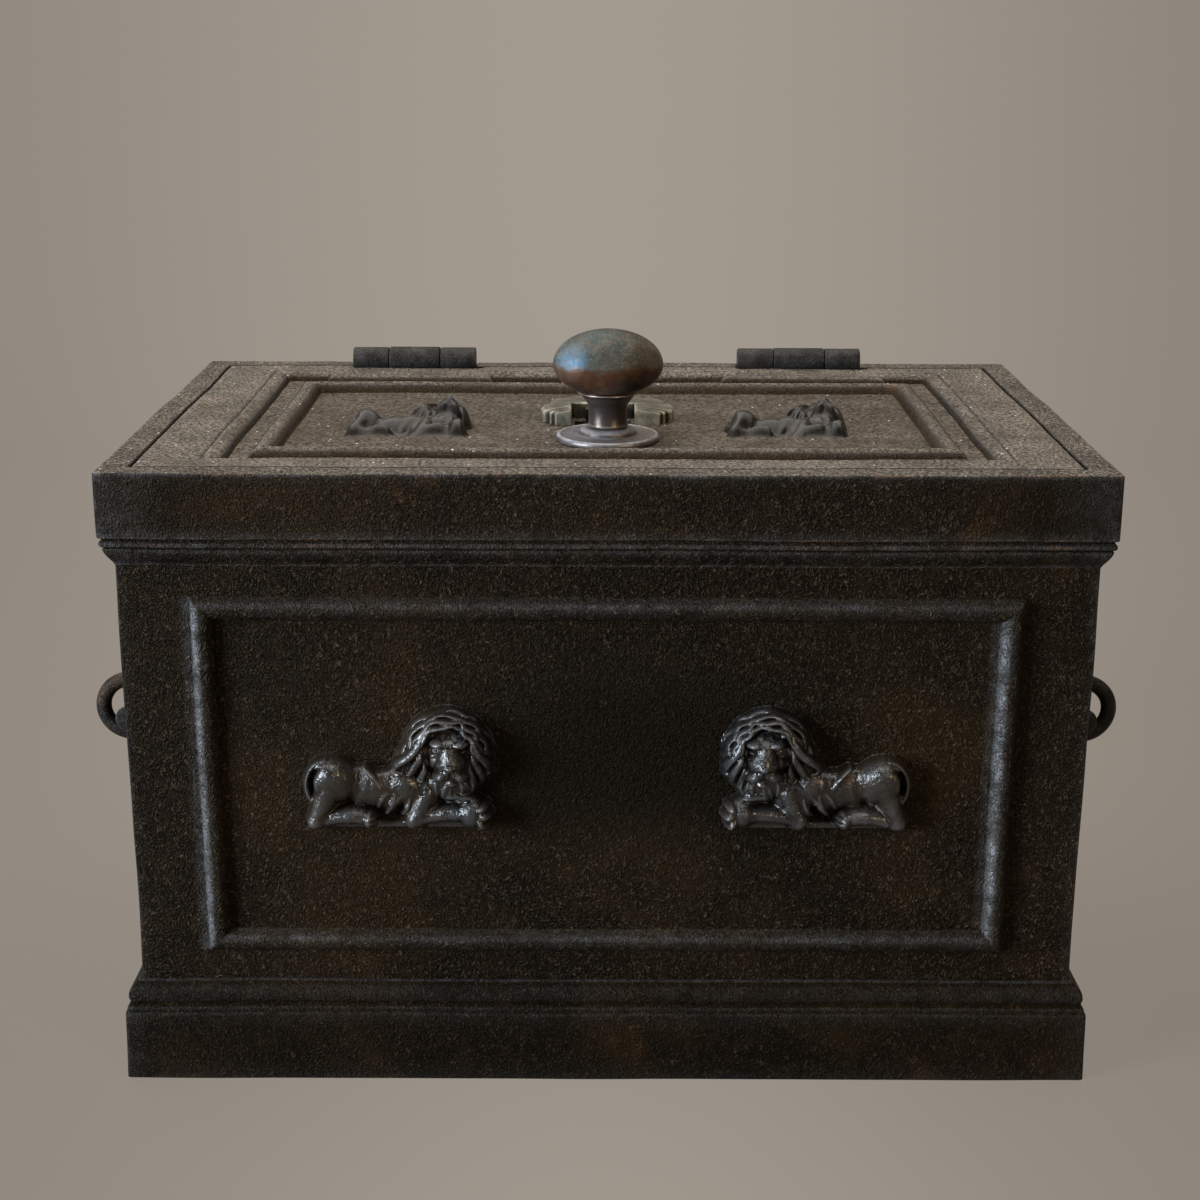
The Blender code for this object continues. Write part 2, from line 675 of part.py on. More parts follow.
def hinge_screws(steel, lid, rim, lid_sites, rim_sites):
    """Countersunk screws, flush with the leaves."""
    for sites, casting, leaves, origin in (
        (lid_sites, lid, "hinge_lid_leaf_", hinge_axis),
        (rim_sites, rim, "hinge_rim_leaf_", (0, 0, 0)),
    ):
        holes = bmesh.new()
        grip = LEAF + CLEAR + SCREW_GRIP
        shank = SCREW_RADIUS * 0.75
        cone = LEAF * 0.7
        for name, seat, direction in sites:
            bm = bmesh.new()
            shape = [(0, CLEAR), (shank + cone, CLEAR), (shank, CLEAR + cone), (shank, grip), (0, grip)]
            add_turned(bm, shape, seat, direction, SCREW_SIDES)
            finish(name, bm, steel, origin, sharp=35)
            grown = [(0, -OVERCUT), (shank + cone + CLEAR, -OVERCUT), (shank + cone + CLEAR, CLEAR)]
            grown += [(shank + CLEAR, 2 * CLEAR + cone), (shank + CLEAR, grip + CLEAR), (0, grip + CLEAR)]
            add_turned(holes, grown, seat, direction, SCREW_SIDES)
        cut = tool("holes_" + leaves, holes)
        for piece in (casting, bpy.data.objects[leaves + "left"], bpy.data.objects[leaves + "right"]):
            combine(piece, cut, "DIFFERENCE")


# Knob, rose and keyhole plate
def knob_and_rose(bronze, steel, lid):
    """Egg-shaped knob on a neck, its rose on the lid and its spindle through it."""
    base = CHEST_HEIGHT + KNOB_BASE
    centre = base + KNOB_TALL / 2
    rose_top = panel_top + CLEAR + ROSE_RISE
    neck_low = rose_top + CLEAR
    bore = SPINDLE_RADIUS + CLEAR
    profile = [(0, centre), (bore, centre), (bore, neck_low), (NECK_RADIUS, neck_low)]
    profile += [(NECK_RADIUS, base - COLLAR_DROP - COLLAR_EDGE), (COLLAR_RADIUS * 0.85, base - COLLAR_DROP)]
    profile += [(COLLAR_RADIUS, base - COLLAR_EDGE), (COLLAR_RADIUS, base)]
    egg_start = math.degrees(math.asin(COLLAR_RADIUS / (KNOB_WIDTH / 2)))
    for a in np.radians(np.linspace(egg_start, 180, 14)):
        profile.append((KNOB_WIDTH / 2 * math.sin(a), centre - KNOB_TALL / 2 * math.cos(a)))
    profile[-1] = (0, centre + KNOB_TALL / 2)

    def oval(radius, height):
        """The egg narrows from front to back; the collar, neck and bore stay round."""
        if radius == bore:
            return 1
        swell = np.clip((height - base) / (centre - base), 0, 1)
        return 1 - (1 - KNOB_DEPTH / KNOB_WIDTH) * float(swell)

    bm = bmesh.new()
    add_turned(bm, profile, (0, KNOB_Y, 0), sides=24, depth_share=oval)
    finish("knob", bm, bronze, knob_axis, sharp=35)

    low, high = case_floor + CLEAR, centre - CLEAR
    spindle = bmesh.new()
    shaft = [(0, low), (SPINDLE_RADIUS, low), (SPINDLE_RADIUS, high), (0, high)]
    add_turned(spindle, shaft, (0, KNOB_Y, 0), sides=12)
    finish("knob_spindle", spindle, steel, knob_axis, sharp=35)

    seat = panel_top + CLEAR
    section = [(bore, seat), (ROSE_RADIUS, seat), (ROSE_RADIUS, seat + ROSE_THICK * 0.6)]
    section += [(ROSE_RADIUS - ROSE_EDGE, seat + ROSE_THICK), (ROSE_FOOT, seat + ROSE_THICK)]
    section += [(NECK_RADIUS + ROSE_LIP, rose_top), (bore, rose_top)]
    rose = bmesh.new()
    add_sleeve(rose, section, (0, KNOB_Y, 0), (0, 0, 1), 28)
    finish("knob_rose", rose, bronze, hinge_axis, sharp=35)

    hole = bmesh.new()
    under = lid_bottom - OVERCUT
    through = [(0, under), (bore, under), (bore, CHEST_HEIGHT), (0, CHEST_HEIGHT)]
    add_turned(hole, through, (0, KNOB_Y, 0), sides=12)
    combine(lid, tool("spindle_hole", hole), "DIFFERENCE")


def keyhole_plate(brass, lid):
    """Thick lobed plate with a notch to the front, a warded block and the key slot."""
    steps = KEYPLATE_LOBES * 4
    seat = panel_top + CLEAR
    top = seat + KEYPLATE_THICK

    def outline(inset, z, bm):
        ring = []
        for k in range(steps):
            a = 2 * math.pi * (k + 0.5) / steps
            r = KEYPLATE_RADIUS - inset - KEYPLATE_SQUARE * math.cos(4 * a)
            r += KEYPLATE_LOBE * math.cos(KEYPLATE_LOBES * a)
            ring.append(bm.verts.new((KEYPLATE_X + r * math.cos(a), KEYPLATE_Y + r * math.sin(a), z)))
        return ring

    bm = bmesh.new()
    levels = ((0, seat), (0, top - KEYPLATE_BEVEL), (KEYPLATE_BEVEL, top))
    add_loops(bm, [outline(inset, z, bm) for inset, z in levels], closed=False)
    plate = finish("keyhole_plate", bm, brass, hinge_axis, sharp=35)
    notch = bmesh.new()
    reach = KEYPLATE_Y - KEYPLATE_RADIUS - KEYPLATE_LOBE - OVERCUT
    add_box(notch, (KEYPLATE_X - KEY_NOTCH / 2, reach, seat - OVERCUT),
            (KEYPLATE_X + KEY_NOTCH / 2, KEY_NOTCH_BACK, top + OVERCUT))
    combine(plate, tool("key_notch", notch), "DIFFERENCE")

    slot = WARD_SLOT
    half = WARD_WIDTH / 2
    back = KEY_NOTCH_BACK - CLEAR
    front = back - WARD_DEPTH
    comb = [(-half, back), (-half, front), (-slot * 1.5, front), (-slot * 1.5, back - slot)]
    comb += [(-slot / 2, back - slot), (-slot / 2, front), (slot / 2, front), (slot / 2, back - slot)]
    comb += [(slot * 1.5, back - slot), (slot * 1.5, front), (half, front), (half, back)]
    ward = bmesh.new()
    add_prism(ward, [(KEYPLATE_X + u, v) for u, v in comb], seat, seat + WARD_RISE, flat)
    finish("keyhole_ward", ward, brass, hinge_axis)

    slot_cut = bmesh.new()
    add_box(slot_cut, (KEYPLATE_X - KEY_SLOT_WIDTH / 2, KEY_SLOT_FRONT, lid_bottom - OVERCUT),
            (KEYPLATE_X + KEY_SLOT_WIDTH / 2, front - CLEAR, CHEST_HEIGHT))
    combine(lid, tool("key_slot", slot_cut), "DIFFERENCE")


# Lock
def lock_case(steel):
    """Tray under the lid that holds the pinion, the bars' tails and the key bolt."""
    top = lid_bottom - CLEAR
    wall = CASE_WALL
    bm = bmesh.new()
    add_box(bm, (-CASE_HALF, CASE_FRONT, case_floor - wall), (CASE_HALF, CASE_BACK, top))
    case = finish("lock_case", bm, steel, hinge_axis)
    flange = bmesh.new()
    long = CASE_HALF + CASE_FLANGE
    for y in (CASE_FRONT, CASE_BACK - CASE_FLANGE_WIDTH):
        add_box(flange, (-long, y, top - wall), (long, y + CASE_FLANGE_WIDTH, top))
    combine(case, tool("case_flanges", flange), "UNION")
    hollow = bmesh.new()
    inside = CASE_HALF - wall
    add_box(hollow, (-inside, CASE_FRONT + wall, case_floor), (inside, CASE_BACK - wall, top + OVERCUT))
    combine(case, tool("case_hollow", hollow), "DIFFERENCE")
    slots = bmesh.new()
    for side in (-1, 1):
        near, far = sorted(KNOB_Y + side * y for y in (bar_near, bar_near + BAR_WIDTH))
        ends = sorted((-side * (inside - OVERCUT), -side * (CASE_HALF + OVERCUT)))
        add_box(slots, (ends[0], near - CLEAR, bar_bottom - CLEAR), (ends[1], far + CLEAR, top + OVERCUT))
    combine(case, tool("case_slots", slots), "DIFFERENCE")
    return case


def lock_pinion(steel):
    """Toothed wheel on the spindle, between the two bars."""
    half = math.pi / TEETH
    shares = ((-0.62, -DEDENDUM), (-0.34, ADDENDUM), (0.34, ADDENDUM), (0.62, -DEDENDUM))
    section = []
    for k in range(TEETH):
        for share, reach in shares:
            angle = -math.pi / 2 + 2 * half * k + share * half * TOOTH_FILL
            section.append((PITCH_RADIUS + reach * 0.9, angle))
    bore = SPINDLE_RADIUS + CLEAR
    bm = bmesh.new()
    loops = []
    for radius, angle in section:
        corners = ((radius, bar_bottom), (radius, bar_top), (bore, bar_top), (bore, bar_bottom))
        turn = Matrix.Translation((0, KNOB_Y, 0)) @ Matrix.Rotation(angle, 4, "Z")
        loops.append([bm.verts.new(turn @ Vector((r, 0, z))) for r, z in corners])
    add_loops(bm, loops, closed=True)
    finish("lock_pinion", bm, steel, knob_axis)


def bolt_bars(steel):
    """Two sliding bars: toothed at the pinion, their tips under the rim ledge when thrown."""
    pitch = 2 * math.pi * PITCH_RADIUS / TEETH
    tip = ledge_x - BAR_TIP_CLEAR
    for name, side in (("right", -1), ("left", 1)):
        near = bar_near
        far = bar_near + BAR_WIDTH
        points = [(tip, near), (tip, far)]
        if name == "left":
            wide = KEY_TONGUE_WIDTH / 2 + KEY_BOLT_SIDE
            deep = KEY_TONGUE_DEPTH + KEY_BOLT_SIDE
            for x in (KEY_BOLT_X, KEY_BOLT_X - bolt_throw):
                points += [(x + wide, far), (x + wide, far - deep), (x - wide, far - deep), (x - wide, far)]
        points += [(-BAR_TAIL, far), (-BAR_TAIL, near)]
        count = int((BAR_TAIL - pitch / 2) / pitch)
        for k in range(count, -2, -1):
            x = -(k - 0.5) * pitch - pitch
            half = pitch / 4 * TOOTH_FILL
            reach = near - ADDENDUM - DEDENDUM * 0.9
            points += [(x - half * 1.5, near), (x - half * 0.5, reach)]
            points += [(x + half * 0.5, reach), (x + half * 1.5, near)]
        bm = bmesh.new()
        add_prism(bm, [(-side * x, KNOB_Y + side * y) for x, y in points], bar_bottom, bar_top, flat)
        finish(f"bolt_bar_{name}", bm, steel, (0, KNOB_Y, bar_bottom))


def key_bolt(steel):
    """Key-thrown bolt whose tongue enters a notch of the left bar."""
    front = KNOB_Y + bar_near + BAR_WIDTH + KEY_BOLT_REST
    back = front + KEY_TONGUE_LENGTH
    end = back + KEY_BOLT_LENGTH
    wide, tongue = KEY_BOLT_WIDTH / 2, KEY_TONGUE_WIDTH / 2
    outline = [(-tongue, front), (tongue, front), (tongue, back), (wide, back)]
    outline += [(wide, end), (tongue, end), (tongue, end - tongue), (-tongue, end - tongue)]
    outline += [(-tongue, end), (-wide, end), (-wide, back), (-tongue, back)]
    bm = bmesh.new()
    add_prism(bm, [(-KEY_BOLT_X + u, v) for u, v in outline], case_floor + CLEAR, bar_top, flat)
    finish("key_bolt", bm, steel, (-KEY_BOLT_X, front, bar_bottom))


def bolt_guides(steel):
    """Staples under the lid that carry the bars near their tips."""
    x1 = ledge_x - GUIDE_INSET + GUIDE_LENGTH
    x0 = ledge_x - GUIDE_INSET
    top = lid_bottom - CLEAR
    wall, foot = GUIDE_WALL, GUIDE_FOOT
    half = BAR_WIDTH / 2 + CLEAR
    under = bar_bottom - CLEAR
    for name, side in (("right", -1), ("left", 1)):
        middle = KNOB_Y + side * (bar_near + BAR_WIDTH / 2)
        right_half = [(half, under), (half, top), (half + foot, top), (half + foot, top - wall)]
        right_half += [(half + wall, top - wall), (half + wall, under - wall)]
        outline = right_half + [(-u, v) for u, v in reversed(right_half)]
        bm = bmesh.new()
        section = [(middle + u, v) for u, v in outline]
        add_prism(bm, section, -side * x0, -side * x1, lambda u, v, h: (h, u, v))
        finish("bolt_guide_" + name, bm, steel, hinge_axis)


def lock_screws(steel, lid, case):
    """Screws that hold the lock case up to the lid."""
    seat = lid_bottom - CLEAR - CASE_WALL
    grip = CASE_WALL + CLEAR + SCREW_GRIP
    x = CASE_HALF + CASE_FLANGE / 2
    holes = bmesh.new()
    half = CASE_FLANGE_WIDTH / 2
    for row, y in (("front", CASE_FRONT + half), ("back", CASE_BACK - half)):
        for side, sx in (("left", -1), ("right", 1)):
            name = f"lock_screw_{row}_{side}"
            add_screw(name, (sx * x, y, seat), (0, 0, 1), grip, steel, hinge_axis, holes)
    cut = tool("holes_lock_screws", holes)
    combine(lid, cut, "DIFFERENCE")
    combine(case, cut, "DIFFERENCE")


# End handles
def end_handles(iron, steel, plates):
    """Ring eyes bolted through each end plate, with a bail hung in each pair."""
    holes = bmesh.new()
    for side, sx in (("left", -1), ("right", 1)):
        for place, sy in (("front", -1), ("back", 1)):
            y = sy * EYE_SPREAD
            bm = bmesh.new()
            add_torus(bm, (sx * eye_x, y, HANDLE_HEIGHT), EYE_RADIUS, EYE_BAR, 20, 8)
            name = f"handle_eye_{side}_{place}"
            eye = finish(name, bm, iron, sharp=35)
            outer = body_x + CLEAR
            thread = inner_x - EYE_THREAD
            shank = bmesh.new()
            profile = [(0, eye_x - EYE_RADIUS), (EYE_SHANK, eye_x - EYE_RADIUS)]
            profile += [(EYE_SHANK, outer + EYE_FLANGE_THICK), (EYE_FLANGE * 0.8, outer + EYE_FLANGE_THICK)]
            profile += [(EYE_FLANGE, outer + EYE_FLANGE_THICK / 2), (EYE_FLANGE, outer)]
            profile += [(EYE_SHANK, outer), (EYE_SHANK, thread), (0, thread)]
            add_turned(shank, profile, (0, y, HANDLE_HEIGHT), (sx, 0, 0), 16)
            combine(eye, tool("shank_" + name, shank), "UNION")
            bore = EYE_SHANK + CLEAR
            start = inner_x - CLEAR - EYE_NUT_THICK
            ring = [(bore, start), (EYE_NUT, start), (EYE_NUT, inner_x - CLEAR), (bore, inner_x - CLEAR)]
            nut = bmesh.new()
            add_sleeve(nut, ring, (0, y, HANDLE_HEIGHT), (sx, 0, 0), 12, flats=6)
            finish(f"handle_nut_{side}_{place}", nut, steel)
            near, far = inner_x - OVERCUT, body_x + OVERCUT
            through = [(0, near), (bore, near), (bore, far), (0, far)]
            add_turned(holes, through, (0, y, HANDLE_HEIGHT), (sx, 0, 0), 16)
        axis = Vector((sx * eye_x, 0, bail_z))
        bm = bmesh.new()
        path, radii = bail_path()
        add_tube(bm, [axis + Vector(p) for p in path], radii, 10)
        finish(f"handle_bail_{side}", bm, iron, axis, sharp=35)
    cut = tool("eye_holes", holes)
    combine(plates["left"], cut, "DIFFERENCE")
    combine(plates["right"], cut, "DIFFERENCE")


def bail_path():
    """Headed end, through the eye, down the arm and along the bowed grip; then the same mirrored."""
    bend = BAIL_BEND
    half = [(-BAIL_END, 0), (-BAIL_END + BAIL_HEAD_LENGTH, 0), (-BAIL_END + BAIL_HEAD_LENGTH + CLEAR, 0)]
    half += [(-BAIL_ARM, 0)] + arc((-BAIL_ARM, -bend), bend, 70, 10, 4)
    corner = bend - BAIL_ARM
    half += arc((corner + bend, bend - BAIL_DROP), bend, 180, 260, 5)
    start, level = half[-1]
    for share in np.linspace(0, 1, 6)[1:]:
        half.append((start * (1 - share), level - BAIL_BOW * math.sin(share * math.pi / 2)))
    path = [(0, y, z) for y, z in half] + [(0, -y, z) for y, z in reversed(half[:-1])]
    ends = [BAIL_HEAD * 0.8, BAIL_HEAD, BAIL_RADIUS]
    radii = ends + [BAIL_RADIUS] * (len(path) - 2 * len(ends)) + ends[::-1]
    return path, radii


def main():
    """Build every piece."""
    for obj in list(bpy.data.objects):
        bpy.data.objects.remove(obj, do_unlink=True)
    iron = material("black_iron", (0.022, 0.019, 0.016), 0.55, 0.6)
    inside = material("inner_iron", (0.030, 0.026, 0.022), 0.65, 0.6)
    steel = material("steel", (0.10, 0.095, 0.09), 0.45, 0.9)
    bronze = material("bronze", (0.16, 0.11, 0.075), 0.38, 0.85)
    brass = material("brass", (0.20, 0.17, 0.11), 0.45, 0.8)

    plates = body_plates(iron)
    floor_plate(inside)
    plinth_frame(iron)
    rim = rim_frame(iron)
    corner_angles(inside)
    front_lions(iron, plates["front"])
    end_handles(iron, steel, plates)

    lid = lid_plate(iron)
    lid_lions(iron, lid)
    lid_sites, rim_sites = hinges(iron, steel, lid, rim)
    hinge_screws(steel, lid, rim, lid_sites, rim_sites)
    knob_and_rose(bronze, steel, lid)
    keyhole_plate(brass, lid)
    case = lock_case(steel)
    lock_pinion(steel)
    bolt_bars(steel)
    key_bolt(steel)
    bolt_guides(steel)
    lock_screws(steel, lid, case)


main()
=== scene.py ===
import math

import bmesh
import bpy
import numpy as np
from mathutils import Matrix, Vector


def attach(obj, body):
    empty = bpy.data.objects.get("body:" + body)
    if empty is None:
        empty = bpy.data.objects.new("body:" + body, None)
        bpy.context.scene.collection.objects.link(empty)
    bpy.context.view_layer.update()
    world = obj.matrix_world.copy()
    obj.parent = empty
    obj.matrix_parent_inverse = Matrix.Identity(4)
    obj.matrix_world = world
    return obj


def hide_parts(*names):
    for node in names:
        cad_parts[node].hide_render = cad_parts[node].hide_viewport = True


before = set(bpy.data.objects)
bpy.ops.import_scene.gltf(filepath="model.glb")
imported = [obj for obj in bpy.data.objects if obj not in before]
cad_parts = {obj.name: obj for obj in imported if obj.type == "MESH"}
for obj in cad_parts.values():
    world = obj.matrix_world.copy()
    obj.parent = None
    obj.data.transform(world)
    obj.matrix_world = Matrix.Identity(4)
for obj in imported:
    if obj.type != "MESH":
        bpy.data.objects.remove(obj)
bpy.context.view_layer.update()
print("frame loaded:", len(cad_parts), "nodes")

# sizes that several pieces share, in metres, as in the CAD
chest = {
    "top": 0.3270, "bodyX": 0.2433, "bodyY": 0.1483, "plate": 0.0070, "plateLow": 0.0063, "plateHigh": 0.2900,
    "mouthX": 0.2355, "mouthY": 0.1405, "ledgeTop": 0.3127, "ledgeLow": 0.3067, "ledgeX": 0.2235,
    "lidX": 0.2342, "lidY": 0.1392, "lidLow": 0.3130, "panel": 0.3220, "gap": 0.0003,
    "frontOf": -0.12,  # what lies before this belongs to the front
}
hinge = {
    "y": 0.13985, "z": 0.3315, "x": 0.1195, "half": 0.0380, "end": 0.0220, "radius": 0.00725,
    "notch": 0.00795, "leaf": 0.0025, "leafLow": 0.3133, "leafHigh": 0.32355, "leafEase": 0.0005,
    "neckHigh": 0.3264, "neckEase": 0.0003, "bore": 0.0033, "ease": 0.0008, "slack": 0.0007,
    "cutAbove": 0.318, "neckInto": 0.001, "leafEnd": 0.0004, "sides": 48, "sharp": 35,
}
tiny = 1e-4  # slack for comparing places


# quads of a grid of points, wrapped round where asked
def gridFaces(rows, cols, wrapRows=False, wrapCols=False):
    i, j = np.meshgrid(np.arange(rows - (not wrapRows)), np.arange(cols - (not wrapCols)), indexing="ij")
    i, j = i.ravel(), j.ravel()
    below, right = (i + 1) % rows, (j + 1) % cols
    return np.stack([i * cols + j, i * cols + right, below * cols + right, below * cols + j], 1)


# rings of points joined in order; a first or last ring drawn to one point closes that end
def ringShell(rings, closed=False):
    rings = np.asarray(rings, float)
    return rings.reshape(-1, 3), gridFaces(rings.shape[0], rings.shape[1], closed, True)


# two sheets over one grid, walled along every open edge of the kept cells
def slabShell(top, bottom, keep=None):
    rows, cols = top.shape[:2]
    count = rows * cols
    keep = np.ones((rows - 1, cols - 1), bool) if keep is None else keep
    at = np.arange(count).reshape(rows, cols)
    i, j = np.nonzero(keep)
    upper = np.stack([at[i, j], at[i, j + 1], at[i + 1, j + 1], at[i + 1, j]], 1)
    margin = np.pad(keep, 1)
    i, j = np.nonzero(margin[:-1, 1:-1] != margin[1:, 1:-1])
    across = np.stack([at[i, j], at[i, j + 1], at[i, j + 1] + count, at[i, j] + count], 1)
    i, j = np.nonzero(margin[1:-1, :-1] != margin[1:-1, 1:])
    along = np.stack([at[i, j], at[i + 1, j], at[i + 1, j] + count, at[i, j] + count], 1)
    points = np.concatenate([top.reshape(-1, 3), bottom.reshape(-1, 3)])
    return points, np.concatenate([upper, upper[:, ::-1] + count, across, along])


# corners of a flat line eased by a short curve, (1-t)^2 a + 2t(1-t) p + t^2 b
def eased(points, radius, closed=True, steps=4):
    points = np.asarray(points, float)

    def toward(others):  # no curve takes more than 0.45 of a side
        run = others - points
        far = np.maximum(np.linalg.norm(run, axis=1, keepdims=True), 1e-9)
        return points + run / far * np.minimum(radius, 0.45 * far)

    t = np.linspace(0, 1, steps)[None, :, None]
    before, after = toward(np.roll(points, 1, 0))[:, None], toward(np.roll(points, -1, 0))[:, None]
    curve = (1 - t) ** 2 * before + 2 * t * (1 - t) * points[:, None] + t ** 2 * after
    if not closed:
        curve[0], curve[-1] = points[0], points[-1]
    return curve.reshape(-1, 2)


# profile (radius, height) spun about Z: (r cos a, r sin a, h)
def turned(profile, sides, closed=False):
    r, h = np.asarray(profile, float).T[:, :, None]
    a = np.linspace(0, 2 * math.pi, sides, endpoint=False)
    return ringShell(np.stack([r * np.cos(a), r * np.sin(a), h * np.ones(sides)], -1), closed)


# a shell turned so that Z runs along the given direction, then carried to a place
def placed(shell, place, along=(0, 0, 1)):
    turn = np.array(Vector((0, 0, 1)).rotation_difference(Vector(along)).to_matrix())
    return shell[0] @ turn.T + np.asarray(place, float), shell[1]


# outline extruded along X with its ends eased: inset at both faces, full between
def bar(outline, low, high, ease):
    outline = np.asarray(outline, float)
    middle = outline.mean(0)
    inner = middle + (outline - middle) * (1 - ease / np.abs(outline - middle).max())
    stages = [(low, middle + 0 * outline), (low, inner), (low + ease, outline), (high - ease, outline),
              (high, inner), (high, middle + 0 * outline)]
    return ringShell([np.column_stack([np.full(len(o), x), o]) for x, o in stages])


# round bar along a path: ring = p + r (cos a side + sin a up)
def tube(path, radii, sides, first):
    path = np.asarray(path, float)
    ahead = np.gradient(path, axis=0)
    ahead /= np.linalg.norm(ahead, axis=1, keepdims=True)
    side = np.cross(ahead, np.cross(np.asarray(first, float)[None], ahead))
    side /= np.linalg.norm(side, axis=1, keepdims=True)
    up = np.cross(ahead, side)
    a = np.linspace(0, 2 * math.pi, sides, endpoint=False)
    spread = np.cos(a)[None, :, None] * side[:, None] + np.sin(a)[None, :, None] * up[:, None]
    return ringShell(path[:, None] + np.asarray(radii, float)[:, None, None] * spread)


# profile (outset, height) carried round a rectangle, its corners turned on a small arc
def framed(profile, stationsX, stationsY, corner):
    o, z = np.asarray(profile, float).T
    halfX, halfY = chest["bodyX"] + o, chest["bodyY"] + o
    sides = (
        (1, 1, lambda s: (-s, halfY), stationsX), (-1, 1, lambda s: (-halfX, -s), stationsY),
        (-1, -1, lambda s: (s, -halfY), stationsX), (1, -1, lambda s: (halfX, s), stationsY),
    )
    rings = []
    for k, (sx, sy, run, stations) in enumerate(sides):
        for a in np.linspace(0, math.pi / 2, 5) + k * math.pi / 2:
            x = sx * (halfX - corner) + corner * math.cos(a)
            y = sy * (halfY - corner) + corner * math.sin(a)
            rings.append(np.stack([x, y, z], 1))
        for s in stations:
            x, y = run(s)
            rings.append(np.stack([x + 0 * z, y + 0 * z, z], 1))
    return np.array(rings)


# grid lines between two ends, coarse but closer together within reach of each mark
def gridLines(low, high, coarse, fine, marks, exact=(), closest=0.00009):
    parts = [np.linspace(low, high, int((high - low) / coarse) + 2)]
    parts += [np.linspace(at - reach, at + reach, int(2 * reach / fine) + 1) for at, reach in marks]
    lines = np.unique(np.concatenate(parts))
    lines = lines[(lines > low + fine / 3) & (lines < high - fine / 3)]
    for at in exact:
        lines = lines[np.abs(lines - at) > fine / 3]
    lines = np.unique(np.concatenate([[low, high], lines, exact]))
    return lines[np.concatenate([[True], np.diff(lines) > closest])]


# slow unevenness of an old casting, one field for all its pieces: a sum of sines of place
def uneven(points, depth=0.00020):
    x, y, z = np.moveaxis(points, -1, 0)
    waves = [np.sin(a * x + b * y + c * z + p) + 0.6 * np.sin(2.7 * (c * x - a * y + b * z) + 2 * p)
             + 0.35 * np.sin(5.3 * (b * x + c * y - a * z) + 3 * p)
             for a, b, c, p in ((19, 27, 31, 0.4), (33, 17, 23, 1.9), (25, 35, 15, 3.1))]
    return points + depth * np.stack(waves, -1)


bends = {"most": 1500, "rub": 260, "pit": 300, "passes": 2}  # an edge's bend per metre, and how it is spread


# how far each vertex stands proud of its neighbours (rub, which the finishes show as worn metal and in part
# as a painted highlight) or lies below them (pit), from the edges' bend
def markBends(mesh, edges, fields):
    count = len(mesh.vertices)
    place, normal = np.empty(count * 3), np.empty(count * 3)
    mesh.vertices.foreach_get("co", place)
    mesh.vertices.foreach_get("normal", normal)
    ends = np.empty(len(mesh.edges) * 2, int)
    mesh.edges.foreach_get("vertices", ends)
    place, normal = place.reshape(-1, 3), normal.reshape(-1, 3)
    a, b = ends.reshape(-1, 2).T
    run = place[b] - place[a]
    far = np.maximum((run ** 2).sum(1), 1e-9)
    shares = np.maximum(np.bincount(a, minlength=count) + np.bincount(b, minlength=count), 1)
    bend = np.bincount(a, -2 * (normal[a] * run).sum(1) / far, count)
    bend += np.bincount(b, 2 * (normal[b] * run).sum(1) / far, count)
    bend = np.clip(bend / shares, -bends["most"], bends["most"])
    for _ in range(bends["passes"]):
        bend = 0.5 * bend + 0.5 * (np.bincount(a, bend[b], count) + np.bincount(b, bend[a], count)) / shares
    marks = {"rub": edges * (1 - np.exp(-np.clip(bend, 0, None) / bends["rub"])),
             "pit": 1 - np.exp(np.clip(bend, None, 0) / bends["pit"])}
    # a painted highlight on the plates' bead flanks comes in as a field and joins the rub mark
    if "paintedHighlight" in fields:
        marks["rub"] = np.maximum(marks["rub"], fields["paintedHighlight"](*place.T))
    for title in ("stain", "rusty", "soot"):
        marks[title] = fields[title](*place.T) if title in fields else np.zeros(count)
    for title, level in marks.items():
        layer = mesh.attributes.new(title, "FLOAT", "POINT")
        layer.data.foreach_set("value", np.clip(level, 0, 1).astype(np.float32))


# one finished piece from its shells, in world places, riding a body in place of CAD nodes;
# edges is how much its standing edges are worn, fields are functions of place for other marks
def makePiece(name, shells, finish, body, stands, slot, sharp=40, edges=1.0, **fields):
    weld = 2e-6
    starts = np.cumsum([0] + [len(shell[0]) for shell in shells])
    points = np.concatenate([shell[0] for shell in shells])
    faces = np.concatenate([shell[1] + start for shell, start in zip(shells, starts)])
    used, faces = np.unique(faces, return_inverse=True)
    mesh = bpy.data.meshes.new(name)
    mesh.from_pydata(points[used], [], faces.reshape(-1, 4))
    tidy = bmesh.new()
    tidy.from_mesh(mesh)
    bmesh.ops.remove_doubles(tidy, verts=tidy.verts[:], dist=weld)
    bmesh.ops.dissolve_degenerate(tidy, edges=tidy.edges[:], dist=weld)
    bmesh.ops.recalc_face_normals(tidy, faces=tidy.faces[:])
    tidy.to_mesh(mesh)
    tidy.free()
    mesh.shade_smooth()
    mesh.set_sharp_from_angle(angle=math.radians(sharp))
    mesh.materials.append(finishes[finish])
    markBends(mesh, edges, fields)
    piece = bpy.data.objects.new(name, mesh)
    bpy.context.scene.collection.objects.link(piece)
    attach(piece, body)
    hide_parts(*stands)


# one shader node: traits set, inputs fed by a link or a value
def put(tree, kind, feeds=None, **traits):
    node = tree.nodes.new("ShaderNode" + kind)
    for trait, value in traits.items():
        setattr(node, trait, value)
    for socket, value in (feeds or {}).items():
        if isinstance(value, bpy.types.NodeSocket):
            tree.links.new(value, node.inputs[socket])
        else:
            node.inputs[socket].default_value = value
    return node


# one operation on two values
def calc(tree, operation, a, b=0.0, clamp=False):
    return put(tree, "Math", {0: a, 1: b}, operation=operation, use_clamp=clamp).outputs[0]


# terms joined in order by one operation, the last result clamped where asked
def chain(tree, operation, terms, clamp):
    total = terms[0]
    for k, term in enumerate(terms[1:], 2):
        total = calc(tree, operation, total, term, clamp and k == len(terms))
    return total


# product of the terms
def times(tree, *terms, clamp=False):
    return chain(tree, "MULTIPLY", terms, clamp)


